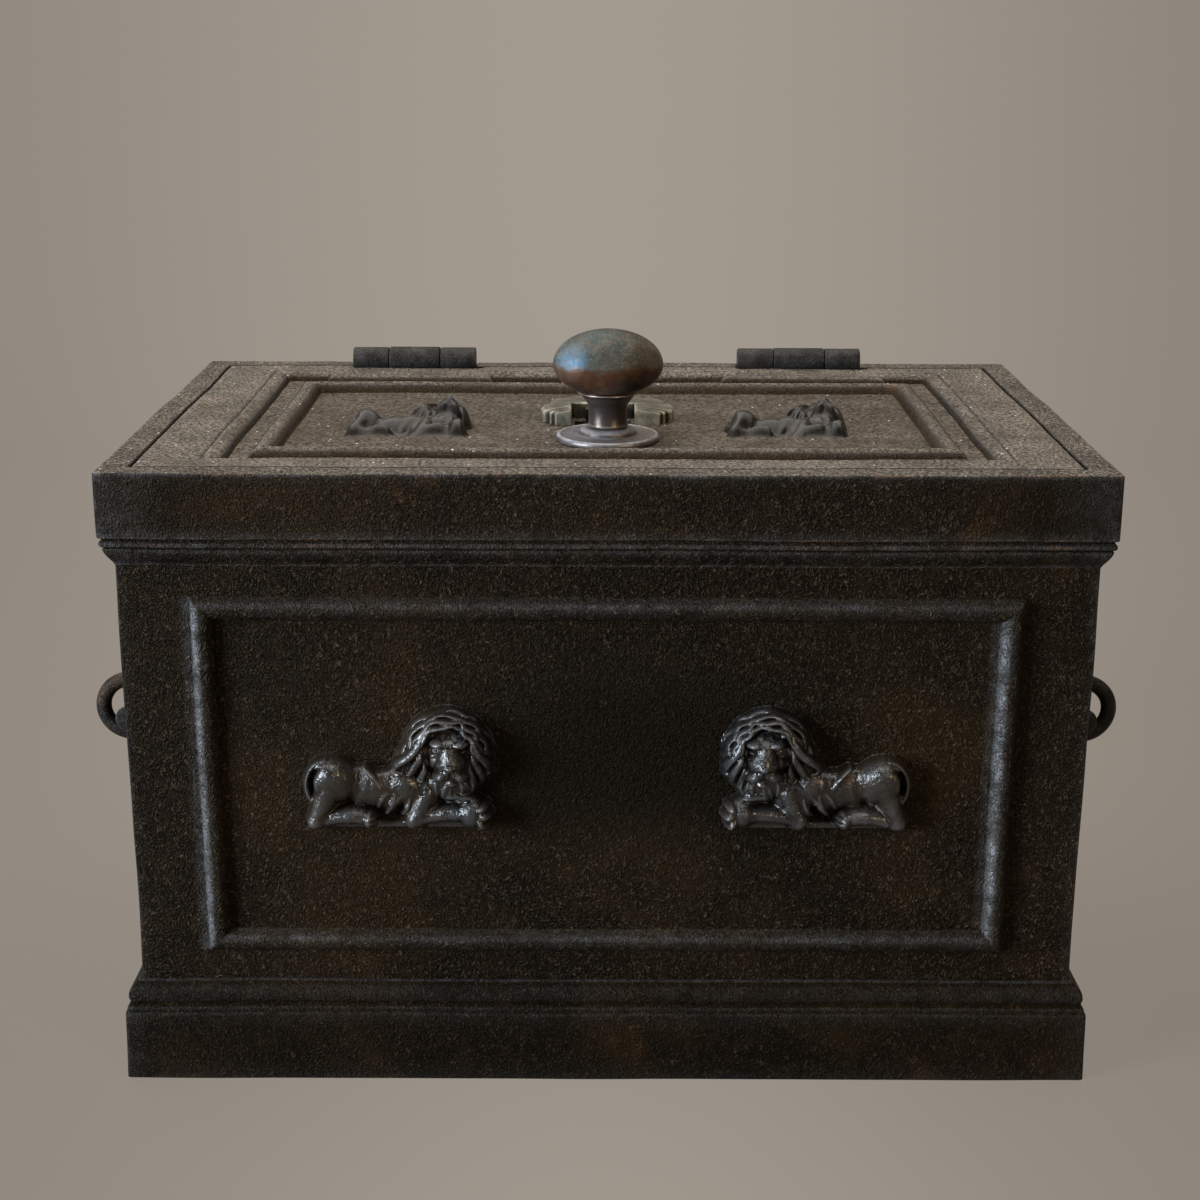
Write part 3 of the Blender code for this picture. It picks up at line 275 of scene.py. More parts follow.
# sum of the terms
def plus(tree, *terms, clamp=False):
    return chain(tree, "ADD", terms, clamp)


# smooth step 3t^2 - 2t^3 from one range to another
def ramp(tree, value, low, high, outLow=0.0, outHigh=1.0):
    feeds = {"Value": value, "From Min": low, "From Max": high, "To Min": outLow, "To Max": outHigh}
    return put(tree, "MapRange", feeds, interpolation_type="SMOOTHSTEP").outputs[0]


# a colour with full alpha; a socket stays as it is
def opaque(colour):
    return (*colour, 1.0) if isinstance(colour, tuple) else colour


# mix of two colours, (1 - share) a + share b
def tint(tree, share, a, b):
    return put(tree, "Mix", {0: share, 6: opaque(a), 7: opaque(b)}, data_type="RGBA").outputs[2]


# layered noise about 1/2
def noise(tree, vector, scale, detail=3.0, roughness=0.55, distortion=0.0):
    feeds = {"Vector": vector, "Scale": scale, "Detail": detail, "Roughness": roughness,
             "Distortion": distortion}
    return put(tree, "TexNoise", feeds).outputs[0]


# links into sockets by their names
def feed(tree, sockets, sources):
    for socket, source in sources.items():
        tree.links.new(source, sockets[socket])


# an empty node group with its sockets
def newGroup(name, takes, gives):
    group = bpy.data.node_groups.new(name, "ShaderNodeTree")
    for title, kind in takes.items():
        group.interface.new_socket(name=title, in_out="INPUT", socket_type="NodeSocket" + kind)
    for title in gives:
        group.interface.new_socket(name=title, in_out="OUTPUT", socket_type="NodeSocketFloat")
    return group, group.nodes.new("NodeGroupInput").outputs, group.nodes.new("NodeGroupOutput").inputs


# old crackled paint: worm-like ridges where |noise - 1/2| is small, over rounded grains
crackle, ins, outs = newGroup("crackledPaint", {"Vector": "Vector", "Grain": "Float"}, ("Height", "Tone"))
slant = {"Vector": ins["Vector"], "Rotation": (0.0, 0.7, 0.4), "Scale": (1.0, 1.0, 0.75)}
worms = noise(crackle, put(crackle, "Mapping", slant).outputs[0], ins["Grain"], 1.5, 0.5, 0.9)
worms = calc(crackle, "ABSOLUTE", calc(crackle, "SUBTRACT", worms, 0.5))
worms = ramp(crackle, worms, 0.0, 0.08, 1.0, 0.0)
fine = noise(crackle, ins["Vector"], times(crackle, ins["Grain"], 2.6), 2.0)
feed(crackle, outs, {
    "Height": plus(crackle, times(crackle, worms, 0.6), times(crackle, fine, 0.5)),
    # Tone marks the ridges, which the iron finishes paint lighter, partly as painted glints
    "Tone": times(crackle, worms, ramp(crackle, fine, 0.42, 0.66, 0.05, 1.0)),
})

# soft-edged patches of noise between two levels
takes = {"Vector": "Vector", "Scale": "Float", "Low": "Float", "High": "Float"}
patches, ins, outs = newGroup("patches", takes, ("Mask",))
cloud = noise(patches, ins["Vector"], ins["Scale"], 6.0, 0.62, 0.3)
feed(patches, outs, {"Mask": ramp(patches, cloud, ins["Low"], ins["High"])})

# dust on what faces up: a patchy film, and specks where a cell's own number is high
takes = {"Vector": "Vector", "Normal": "Vector", "Tone": "Float", "Stain": "Float", "Amount": "Float"}
dust, ins, outs = newGroup("settledDust", takes, ("Film", "Specks"))
lying = ramp(dust, put(dust, "SeparateXYZ", {0: ins["Normal"]}).outputs["Z"], 0.72, 0.995)
cloud = noise(dust, ins["Vector"], 42.0, 6.0, 0.65, 0.2)
powder = noise(dust, ins["Vector"], 520.0, 3.0)
cells = put(dust, "TexVoronoi", {"Vector": ins["Vector"], "Scale": 190.0}).outputs
chosen = put(dust, "SeparateColor", {0: cells["Color"]}).outputs[0]
feed(dust, outs, {
    "Film": times(dust, ramp(dust, cloud, 0.25, 0.72, 0.45, 1.0), ramp(dust, powder, 0.36, 0.62, 0.10, 1.0),
                  ramp(dust, ins["Tone"], 0.0, 0.9, 1.0, 0.62), ramp(dust, ins["Stain"], 0.0, 1.0, 1.0, 0.55),
                  lying, ins["Amount"], clamp=True),
    "Specks": times(dust, ramp(dust, cells["Distance"], 0.07, 0.15, 1.0, 0.0), ramp(dust, chosen, 0.68, 0.86),
                    lying, ins["Amount"], clamp=True),
})

# wear on standing edges, broken up by noise; on the lions' high points and the beads' flanks it is also a
# painted highlight
takes = {"Vector": "Vector", "Rub": "Float", "Amount": "Float"}
wearAndSheen, ins, outs = newGroup("edgeWear", takes, ("Worn", "Chipped"))
broken = noise(wearAndSheen, ins["Vector"], 120.0, 5.0, 0.65)
sparse = noise(wearAndSheen, ins["Vector"], 34.0, 4.0, 0.6)
feed(wearAndSheen, outs, {
    "Worn": times(wearAndSheen, ins["Rub"], ramp(wearAndSheen, broken, 0.30, 0.70, 0.25, 1.0), ins["Amount"], clamp=True),
    "Chipped": times(wearAndSheen, ramp(wearAndSheen, sparse, 0.53, 0.60), ramp(wearAndSheen, ins["Rub"], 0.14, 0.26),
                     ramp(wearAndSheen, ins["Rub"], 0.40, 0.60, 1.0, 0.0), ramp(wearAndSheen, broken, 0.4, 0.55)),
})
print("node groups made")

# black-painted cast iron in several states; the ridge colour is in part a painted glint on the crackle, and
# the worn colour in part a painted highlight on the lions and beads
ironLooks = {
    "castIron": {
        "dark": (0.0020, 0.0016, 0.0011), "brown": (0.0145, 0.0085, 0.0036), "ridgeAndGlint": (0.075, 0.057, 0.038),
        "rust": (0.095, 0.043, 0.018), "wornAndSheen": (0.30, 0.31, 0.33), "dusty": (0.210, 0.182, 0.151),
        "speck": (0.70, 0.66, 0.58), "grain": 370.0, "contrast": 0.78, "bump": 1.0, "deep": 0.0024,
        "rough": 0.35, "shine": 0.10, "tinge": (1.0, 0.75, 0.48), "dust": 1.0, "rub": 0.60, "metal": 0.80,
        "chip": 0.6, "spots": 1.0,
    },
    "lionIron": {
        "dark": (0.0030, 0.0030, 0.0032), "brown": (0.0190, 0.0110, 0.0045), "ridgeAndGlint": (0.022, 0.020, 0.017),
        "rust": (0.030, 0.017, 0.008), "wornAndSheen": (0.260, 0.268, 0.280), "dusty": (0.070, 0.064, 0.057),
        "speck": (0.34, 0.33, 0.30), "grain": 420.0, "contrast": 0.22, "bump": 0.30, "deep": 0.0010,
        "rough": 0.17, "shine": 0.55, "tinge": (1.0, 1.0, 1.0), "dust": 0.02, "rub": 0.30, "metal": 0.75,
        "chip": 0.0, "spots": 0.5,
    },
    "barrelIron": {
        "dark": (0.0030, 0.0025, 0.0020), "brown": (0.0100, 0.0068, 0.0040), "ridgeAndGlint": (0.020, 0.0165, 0.013),
        "rust": (0.060, 0.030, 0.014), "wornAndSheen": (0.100, 0.101, 0.105), "dusty": (0.045, 0.040, 0.034),
        "speck": (0.45, 0.43, 0.38), "grain": 520.0, "contrast": 0.25, "bump": 0.5, "deep": 0.0010,
        "rough": 0.34, "shine": 0.10, "tinge": (1.0, 0.90, 0.78), "dust": 0.05, "rub": 0.35, "metal": 0.6,
        "chip": 0.4, "spots": 1.0,
    },
    "innerIron": {
        "dark": (0.0100, 0.0082, 0.0064), "brown": (0.034, 0.021, 0.012), "ridgeAndGlint": (0.042, 0.030, 0.020),
        "rust": (0.090, 0.044, 0.021), "wornAndSheen": (0.070, 0.066, 0.060), "dusty": (0.090, 0.077, 0.063),
        "speck": (0.30, 0.28, 0.24), "grain": 330.0, "contrast": 0.35, "bump": 0.8, "deep": 0.0016,
        "rough": 0.58, "shine": 0.2, "tinge": (1.0, 0.90, 0.78), "dust": 0.55, "rub": 0.4, "metal": 0.3,
        "chip": 0.5, "spots": 1.0,
    },
}
ironLooks["lidLionIron"] = {
    **ironLooks["lionIron"], "dark": (0.0040, 0.0034, 0.0028), "brown": (0.0200, 0.0115, 0.0052),
    "wornAndSheen": (0.120, 0.125, 0.135), "rough": 0.25, "shine": 0.18, "rub": 0.22, "contrast": 0.08, "bump": 0.12,
}
ironLooks["lidIron"] = {  # dust fills the grain
    **ironLooks["castIron"], "contrast": 0.40, "bump": 0.6, "deep": 0.0017, "dusty": (0.196, 0.169, 0.140),
}
ironLooks["sideIron"] = {**ironLooks["castIron"], "dust": 0.16, "chip": 0.0, "spots": 0.35}  # little dust
ironLooks["plinthIron"] = {
    **ironLooks["sideIron"], "ridgeAndGlint": (0.040, 0.029, 0.018), "dust": 0.03, "shine": 0.06,
}
ironPatches = {"broad": (11.0, 0.42, 0.66), "small": (75.0, 0.45, 0.75), "spots": (23.0, 0.60, 0.72)}
browning = {"broad": 0.55, "small": 0.40, "pit": 0.35, "stain": 0.8}
roughening = {"film": 0.32, "brown": 0.12, "soot": 0.20, "wornAndSheen": 0.08}
finishes = {}


# a vertex mark, 0 to 1
def mark(tree, title):
    return put(tree, "Attribute", attribute_name=title).outputs["Fac"]


# soft patches of noise at one scale
def blotches(tree, place, scale, low, high):
    return put(tree, "Group", {"Vector": place, "Scale": scale, "Low": low, "High": high},
               node_tree=patches).outputs[0]


# wear on the edges that stand proud, amount times rub; in part a painted highlight
def wornAndSheen(tree, place, amount):
    return put(tree, "Group", {"Vector": place, "Rub": mark(tree, "rub"), "Amount": amount},
               node_tree=wearAndSheen).outputs


# a new material: its tree, shader inputs, place and facing
def newFinish(name):
    made = bpy.data.materials.new(name)
    made.use_nodes = True
    finishes[name] = made
    tree = made.node_tree
    coords = put(tree, "TexCoord").outputs
    return tree, tree.nodes["Principled BSDF"].inputs, coords["Object"], coords["Normal"]


# bump from a height, strength over a distance
def bumped(tree, shader, height, strength, distance):
    bump = put(tree, "Bump", {"Height": height, "Strength": strength, "Distance": distance})
    feed(tree, shader, {"Normal": bump.outputs[0]})


for name, look in ironLooks.items():
    tree, shader, place, facing = newFinish(name)
    paint = put(tree, "Group", {"Vector": place, "Grain": look["grain"]}, node_tree=crackle).outputs
    broad, small, spots = (blotches(tree, place, *ironPatches[kind]) for kind in ("broad", "small", "spots"))
    used = wornAndSheen(tree, place, look["rub"])
    stain, soot = mark(tree, "stain"), mark(tree, "soot")
    fallen = put(tree, "Group", {"Vector": place, "Normal": facing, "Tone": paint["Tone"], "Stain": stain,
                                 "Amount": look["dust"]}, node_tree=dust).outputs
    browned = {"broad": broad, "small": small, "pit": mark(tree, "pit"), "stain": stain}
    browned = plus(tree, *(times(tree, browned[kind], browning[kind]) for kind in browning), clamp=True)
    colour = tint(tree, browned, look["dark"], look["brown"])
    # the crackle's ridges are lighter: partly their own brown, partly painted glints for light caught on them
    colour = tint(tree, times(tree, paint["Tone"], look["contrast"]), colour, look["ridgeAndGlint"])
    rusted = times(tree, mark(tree, "rusty"), ramp(tree, small, 0.1, 0.6, 0.35, 1.0))
    rusted = calc(tree, "MAXIMUM", times(tree, spots, look["spots"]), rusted)
    rusted = times(tree, rusted, ramp(tree, paint["Tone"], 0.0, 0.8, 0.25, 0.7))
    colour = tint(tree, rusted, colour, look["rust"])
    colour = tint(tree, soot, colour, look["dark"])
    # worn edges turn grey metal; on the lions' high points and the plates' bead flanks this grey is in part a
    # painted highlight
    colour = tint(tree, used["Worn"], colour, look["wornAndSheen"])
    colour = tint(tree, times(tree, used["Chipped"], look["chip"]), colour, look["rust"])
    colour = tint(tree, fallen["Film"], colour, look["dusty"])
    colour = tint(tree, fallen["Specks"], colour, look["speck"])
    rough = {"film": fallen["Film"], "brown": browned, "soot": soot}
    rough = plus(tree, *(times(tree, rough[kind], roughening[kind]) for kind in rough))
    rough = calc(tree, "SUBTRACT", rough, times(tree, used["Worn"], roughening["wornAndSheen"]))
    feed(tree, shader, {"Base Color": colour, "Roughness": plus(tree, rough, look["rough"]),
                        "Metallic": times(tree, used["Worn"], look["metal"])})
    shader["Specular IOR Level"].default_value = look["shine"]
    shader["Specular Tint"].default_value = opaque(look["tinge"])
    bumped(tree, shader, paint["Height"], look["bump"], look["deep"])

# bronze: patina above, a painted highlight in blue about one spot and olive to the right, brown metal lower
# down, painted shade below and toward the right
bronzeLooks = {
    "knobBronze": {
        "metal": (0.066, 0.025, 0.009), "dark": (0.005, 0.002, 0.001), "teal": (0.011, 0.027, 0.027),
        "paintedHighlightTint": (0.040, 0.110, 0.175), "spot": (-0.0198, -0.0668, 0.3660), "reach": (0.003, 0.014),
        "olive": (0.017, 0.015, 0.006), "pale": (0.11, 0.19, 0.21), "bright": (0.55, 0.46, 0.38),
        "neck": (0.046, 0.036, 0.034), "from": 0.3500, "rough": 0.28, "low": -0.16, "high": 0.10,
        "gloss": 0.06, "metallic": 0.50, "paintedShadeRight": 14.0,
    },
    "roseBronze": {
        "metal": (0.080, 0.062, 0.055), "dark": (0.020, 0.015, 0.013), "teal": (0.066, 0.064, 0.070),
        "paintedHighlightTint": (0.095, 0.096, 0.108), "spot": (-0.0270, -0.0600, 0.3260), "reach": (0.006, 0.026),
        "olive": (0.085, 0.070, 0.054), "pale": (0.24, 0.24, 0.26), "bright": (0.42, 0.42, 0.45),
        "neck": (0.060, 0.050, 0.046), "from": 0.0, "rough": 0.34, "low": 0.10, "high": 0.80, "gloss": 0.40,
        "metallic": 0.70, "paintedShadeRight": 0.0,
    },
}
bronzePatches = {"small": (330.0, 0.38, 0.64), "broad": (60.0, 0.35, 0.65)}
for name, look in bronzeLooks.items():
    tree, shader, place, facing = newFinish(name)
    axes = put(tree, "SeparateXYZ", {0: place}).outputs
    small, broad = (blotches(tree, place, *bronzePatches[kind]) for kind in ("small", "broad"))
    level = times(tree, calc(tree, "SUBTRACT", broad, 0.5), 0.20)
    level = plus(tree, put(tree, "SeparateXYZ", {0: facing}).outputs["Z"], level)
    skin = times(tree, ramp(tree, level, look["low"], look["high"]), ramp(tree, small, 0.0, 1.0, 0.70, 1.0),
                 ramp(tree, axes["Z"], look["from"], look["from"] + 0.003))
    # painted shade: darker where the surface faces down and, on the knob, toward the right; the pits darken
    # too
    shade = calc(tree, "SUBTRACT", level, times(tree, axes["X"], look["paintedShadeRight"]))
    shade = ramp(tree, shade, -0.75, -0.15, 1.0, 0.10)
    pitsAndPaintedShade = calc(tree, "MAXIMUM", times(tree, mark(tree, "pit"), 0.8), shade)
    # painted highlight: the patina turns blue about the spot where the lamp's highlight falls
    away = put(tree, "VectorMath", {0: place, 1: look["spot"]}, operation="DISTANCE").outputs["Value"]
    patina = tint(tree, ramp(tree, away, *look["reach"]), look["paintedHighlightTint"], look["teal"])
    patina = tint(tree, ramp(tree, axes["X"], -0.004, 0.020), patina, look["olive"])
    flecks = ramp(tree, noise(tree, place, 900.0, 2.0), 0.54, 0.68)
    patina = tint(tree, times(tree, flecks, 0.34), patina, look["pale"])
    patina = tint(tree, times(tree, broad, 0.25), patina, look["olive"])
    colour = tint(tree, pitsAndPaintedShade, look["metal"], look["dark"])
    collar = ramp(tree, axes["Z"], look["from"] - 0.004, look["from"] - 0.001)
    colour = tint(tree, collar, look["neck"], colour)
    colour = tint(tree, skin, colour, patina)
    # edges rubbed bright; on the knob's collar ring this bright line is in part a painted highlight
    colour = tint(tree, wornAndSheen(tree, place, 0.6)["Worn"], colour, look["bright"])
    bare = calc(tree, "SUBTRACT", 1.0, times(tree, skin, 0.9))
    feed(tree, shader, {
        "Base Color": colour, "Metallic": times(tree, bare, look["metallic"]),
        "Roughness": plus(tree, times(tree, small, 0.10), times(tree, skin, 0.12), look["rough"]),
    })
    shader["Specular IOR Level"].default_value = look["gloss"]
    bumped(tree, shader, noise(tree, place, 520.0, 3.0), 0.22, 0.0006)

# tarnished brass of the keyhole plate and ward
brassLook = {
    "metal": (0.036, 0.031, 0.020), "tarnish": (0.014, 0.013, 0.009), "dark": (0.005, 0.004, 0.002),
    "pale": (0.42, 0.39, 0.30), "dusty": (0.036, 0.032, 0.024), "gloss": 0.2, "rub": 0.95, "dust": 0.45,
    "metallic": 0.45, "rough": 0.36,
}
tree, shader, place, facing = newFinish("oldBrass")
broad = blotches(tree, place, 60.0, 0.35, 0.65)
small = blotches(tree, place, 260.0, 0.40, 0.70)
film = put(tree, "Group", {"Vector": place, "Normal": facing, "Amount": brassLook["dust"]},
           node_tree=dust).outputs["Film"]
colour = tint(tree, broad, brassLook["metal"], brassLook["tarnish"])
colour = tint(tree, times(tree, small, 0.35), colour, brassLook["dark"])
colour = tint(tree, film, colour, brassLook["dusty"])
colour = tint(tree, wornAndSheen(tree, place, brassLook["rub"])["Worn"], colour, brassLook["pale"])
feed(tree, shader, {
    "Base Color": colour, "Metallic": calc(tree, "SUBTRACT", brassLook["metallic"], times(tree, film, 0.4)),
    "Roughness": plus(tree, times(tree, small, 0.18), brassLook["rough"]),
})
shader["Specular IOR Level"].default_value = brassLook["gloss"]
bumped(tree, shader, noise(tree, place, 600.0, 3.0), 0.15, 0.0004)

# filed steel of the lock, grey with brown freckles
steelLook = {"metal": (0.170, 0.165, 0.158), "dark": (0.060, 0.055, 0.050), "rust": (0.110, 0.058, 0.030),
             "strokes": (60.0, 900.0, 900.0), "metallic": 0.9}
tree, shader, place, facing = newFinish("filedSteel")
drawn = put(tree, "Mapping", {"Vector": place, "Scale": steelLook["strokes"]}).outputs[0]
filed = noise(tree, drawn, 1.0, 3.0)
freckle = blotches(tree, place, 140.0, 0.55, 0.70)
colour = tint(tree, ramp(tree, filed, 0.3, 0.7), steelLook["metal"], steelLook["dark"])
colour = tint(tree, times(tree, freckle, 0.7), colour, steelLook["rust"])
feed(tree, shader, {
    "Base Color": colour,
    "Metallic": calc(tree, "SUBTRACT", steelLook["metallic"], times(tree, freckle, 0.6)),
    "Roughness": ramp(tree, filed, 0.2, 0.8, 0.34, 0.52),
})
bumped(tree, shader, filed, 0.12, 0.0003)
print("finishes made:", ", ".join(finishes))

reach = hinge["half"] + hinge["slack"]
hingeSpans = [(s * hinge["x"] - reach, s * hinge["x"] + reach) for s in (-1, 1)]


# the round cut of the hinge barrels in rim and lid: z <= axis - sqrt(r^2 - (y - axis)^2)
def hingeCut(points):
    x, y, z = np.moveaxis(points, -1, 0)
    inside = np.zeros(x.shape, bool)
    for low, high in hingeSpans:
        inside |= (x > low) & (x < high)
    reach = np.sqrt(np.clip(hinge["notch"] ** 2 - (y - hinge["y"]) ** 2, 0, None))
    cut = np.where(reach > 0, hinge["z"] - reach, 1.0)
    return inside, np.where(inside & (z > hinge["cutAbove"]), np.minimum(z, cut), z)


# a soft-edged mark on the front about a place, exp(-p^power - q^power)
def frontMark(spot, power):
    x0, z0, wide, tall = spot
    return lambda x, y, z: (y < chest["frontOf"]) * np.exp(
        -np.abs((x - x0) / wide) ** power - np.abs((z - z0) / tall) ** power)


# rim: moulded outside, rabbet for the lid and bolt ledge inside
rim = {
    "cornice": [(6.7, 294.4), (6.4, 294.0), (5.1, 293.6), (4.9, 292.6), (5.5, 292.1), (6.0, 291.4),
                (6.15, 290.6), (6.0, 289.8), (5.4, 289.2), (4.5, 288.8), (4.4, 288.3), (4.85, 287.9),
                (4.7, 286.9), (4.3, 285.8), (3.7, 284.5), (2.9, 283.1), (1.9, 281.6), (1.0, 280.3),
                (0.5, 279.2), (0.3, 279.0)],
    "outset": 0.0067, "bandLow": 0.2950, "lip": 0.0006, "edge": 0.0011, "corner": 0.0018, "step": 0.004,
    "reachX": 0.220, "reachY": 0.128, "rust": (-0.1950, 0.3100, 0.017, 0.010), "soot": 0.75,
    "sootReach": 0.065, "edges": 0.32, "sharp": 32,
}


# the rim's front darkens toward its ends, exp(-d^2) from the corners
def endSoot(x, y, z):
    near = np.exp(-((np.abs(x) - chest["bodyX"]) / rim["sootReach"]) ** 2)
    return (y < chest["frontOf"]) * rim["soot"] * near


mouth, shelf = chest["mouthX"] - chest["bodyX"], chest["ledgeX"] - chest["bodyX"]
seam, edge, outset = chest["plateHigh"] + chest["gap"], rim["edge"], rim["outset"]
roll = np.linspace(0, math.pi / 2, 5)
topEdge = np.column_stack([outset - edge + edge * np.sin(roll), chest["top"] - edge + edge * np.cos(roll)])
land = np.column_stack([np.linspace(mouth + rim["lip"], outset - 2 * edge, 12), np.full(12, chest["top"])])
band = np.column_stack([np.full(9, outset), np.linspace(chest["top"] - 2 * edge, rim["bandLow"], 9)])
inner = np.array([
    (chest["gap"], seam), (-chest["plate"], seam), (-chest["plate"], chest["ledgeLow"]),
    (shelf, chest["ledgeLow"]), (shelf, chest["ledgeTop"]), (mouth, chest["ledgeTop"]),
    (mouth, chest["top"] - rim["lip"]),
])
profile = np.concatenate([land, topEdge, band, np.array(rim["cornice"]) / 1000, inner])
cuts = np.concatenate([[low, low + tiny, high - tiny, high] for low, high in hingeSpans])
stationsX = np.unique(np.concatenate([np.arange(-rim["reachX"], rim["reachX"] + tiny, rim["step"]), cuts]))
stationsY = np.arange(-rim["reachY"], rim["reachY"] + tiny, rim["step"])
rings = framed(profile, stationsX, stationsY, rim["corner"])
spanned, rings[..., 2] = hingeCut(rings)
seat = chest["mouthY"] + hinge["leaf"] + chest["gap"]  # the leaves lie in the back wall of the mouth
wall = spanned & (rings[..., 1] > chest["mouthY"] - tiny) & (rings[..., 1] < seat)
wall &= rings[..., 2] > chest["ledgeTop"] - tiny
rings[..., 1] = np.where(wall, seat, rings[..., 1])
makePiece("rim", [ringShell(uneven(rings), True)], "castIron", "chest", ["rim_frame"], "black_iron",
          sharp=rim["sharp"], edges=rim["edges"], rusty=frontMark(rim["rust"], 2), soot=endSoot)

# plinth: band, ledge, groove, torus and fillet under the plates
plinth = {
    "section": [(9.6, 0.0), (9.5, 4.0), (9.25, 12.0), (9.0, 20.0), (8.75, 29.0), (8.55, 36.0), (8.45, 37.2),
                (8.0, 37.9), (7.6, 38.3), (7.55, 39.6), (7.2, 40.4), (6.4, 40.8), (6.0, 41.3), (5.9, 42.3),
                (6.2, 43.2), (6.6, 44.2), (6.75, 45.6), (6.6, 47.2), (6.15, 48.8), (5.3, 50.2), (4.2, 51.3),
                (3.1, 52.0), (2.4, 52.3), (2.3, 52.8), (2.35, 53.4), (2.2, 53.9), (1.9, 54.0), (0.3, 54.0),
                (0.3, 0.0)],
    "corner": 0.0022, "step": 0.004, "reachX": 0.240, "reachY": 0.146, "rust": (0.2290, 0.0130, 0.006, 0.004),
    "edges": 0.20, "sharp": 32,
}
stations = np.arange(-plinth["reachX"], plinth["reachX"] + tiny, plinth["step"])
inside = stations[np.abs(stations) < plinth["reachY"]]
rings = framed(np.array(plinth["section"]) / 1000, stations, inside, plinth["corner"])
shaped = uneven(rings)
shaped[..., 2] = np.where(rings[..., 2] < 1e-6, 0, shaped[..., 2])  # the foot stays flat
makePiece("plinth", [ringShell(shaped, True)], "plinthIron", "chest", ["plinth_frame"], "black_iron",
          sharp=plinth["sharp"], edges=plinth["edges"], rusty=frontMark(plinth["rust"], 2))
print("rim and plinth made")

# plates: height over the face is a half-round bead on a mitred rectangle, max(|u| - a, |v| - b)
bead = {
    "half": 0.0060, "rise": 0.0060, "side": 0.0418, "low": 0.0765, "high": 0.2570, "edge": 0.0010,
    "round": 0.62, "endHalf": 0.1410, "coarse": 0.006, "fine": 0.0008, "nearBead": 0.0068, "nearEdge": 0.0016,
    # line and top give strength, place and width of the painted highlights on the beads' left and upper
    # flanks
    "line": (1.0, 0.66, 0.38), "top": (0.22, 0.45, 0.3), "soot": (0.0170, 0.1800, 0.082, 0.048),
    "edges": 0.15,
}
plates = {
    "front": ("front_plate", chest["bodyX"], lambda u, v, h: (u, -chest["bodyY"] - h, v)),
    "back": ("back_plate", chest["bodyX"], lambda u, v, h: (-u, chest["bodyY"] + h, v)),
    "leftEnd": ("left_end_plate", bead["endHalf"], lambda u, v, h: (-chest["bodyX"] - h, -u, v)),
    "rightEnd": ("right_end_plate", bead["endHalf"], lambda u, v, h: (chest["bodyX"] + h, u, v)),
}
beadMiddle, beadTall = (bead["low"] + bead["high"]) / 2, (bead["high"] - bead["low"]) / 2


# painted highlight on the flanks of the bead that face left and up, strength exp(-((flank - at) / wide)^2)
def beadPaintedHighlight(half, isEnd):
    def paintedHighlight(x, y, z):
        u = y if isEnd else x
        across = (np.abs(u) - half + bead["side"]) / bead["half"]
        upright = (np.abs(z - beadMiddle) - beadTall) / bead["half"]
        face = np.maximum(np.abs(x) > chest["bodyX"] - 0.001, np.abs(y) > chest["bodyY"] - 0.001)
        flanks = ((-np.sign(u) * across, bead["line"]), (np.sign(z - beadMiddle) * upright, bead["top"]))
        line, top = (strength * np.exp(-((flank - at) / wide) ** 2) for flank, (strength, at, wide) in flanks)
        return face * np.where(across < upright, top, line)

    return paintedHighlight


for name, (node, half, lay) in plates.items():
    inset = half - bead["side"]
    marks = [(s * inset, bead["nearBead"]) for s in (-1, 1)] + [(s * half, bead["nearEdge"]) for s in (-1, 1)]
    us = gridLines(-half, half, bead["coarse"], bead["fine"], marks)
    marks = [(bead[level], bead["nearBead"]) for level in ("low", "high")]
    vs = gridLines(chest["plateLow"], chest["plateHigh"], bead["coarse"], bead["fine"], marks)
    u, v = np.meshgrid(us, vs, indexing="ij")
    off = np.abs(np.maximum(np.abs(u) - inset, np.abs(v - beadMiddle) - beadTall)) / bead["half"]
    h = bead["rise"] * np.clip(1 - off ** 2, 0, 1) ** bead["round"]
    near = np.clip(bead["edge"] - (half - np.abs(u)), 0, None)
    h -= bead["edge"] - np.sqrt(np.clip(bead["edge"] ** 2 - near ** 2, 0, None))
    face = uneven(np.stack(lay(u, v, h), -1))
    back = np.stack(lay(u, v, 0 * h - chest["plate"]), -1)
    # the beads' flanks that face left and up get a painted highlight, merged into the edge wear mark
    fields = {"paintedHighlight": beadPaintedHighlight(half, name.endswith("End"))}
    if name == "front":  # its middle is dark
        fields["soot"] = frontMark(bead["soot"], 4)
    makePiece(name + "Plate", [slabShell(face, back)], "sideIron", "chest", [node], "black_iron",
              edges=bead["edges"], **fields)
print("plates made")

# lid: border, quirk and quarter round down to a sunk field, half-round bead, rolled pads at the hinges
lid = {
    "borderX": 0.0295, "borderY": 0.0160, "round": 0.0105, "sink": 0.0050, "quirk": 0.0008,
    "quirkWide": 0.0007, "beadX": 0.1770, "beadFront": -0.0965, "beadBack": 0.0830, "beadHalf": 0.0066,
    "beadRise": 0.0054, "padHalf": 0.0505, "padWide": 0.0205, "padRoll": 0.0050, "padSink": 0.0002,
    "edge": 0.0010, "keyX": -0.0025, "keyHalf": 0.0155, "keyFront": -0.0200, "keyBack": -0.0041,
    "knobY": -0.0515, "bore": 0.0045,
    "coarse": 0.0055, "fine": 0.0010, "nearRound": 0.0075, "nearBead": 0.0072, "nearEdge": 0.0015,
    "nearPad": 0.003, "nearHinge": (0.1355, 0.0037), "brown": (0.45, 0.003, 0.006), "padPast": 0.002,
    "edges": 0.3,
}
fieldX, fieldY = chest["lidX"] - lid["borderX"], chest["lidY"] - lid["borderY"]
padFront, padEnd = fieldY - lid["padWide"], lid["padHalf"] - lid["padRoll"] / 2
marks = [(s * at, near) for at, near in (
    (fieldX - lid["round"] / 2, lid["nearRound"]), (lid["beadX"], lid["nearBead"]),
    (chest["lidX"], lid["nearEdge"])) for s in (-1, 1)]
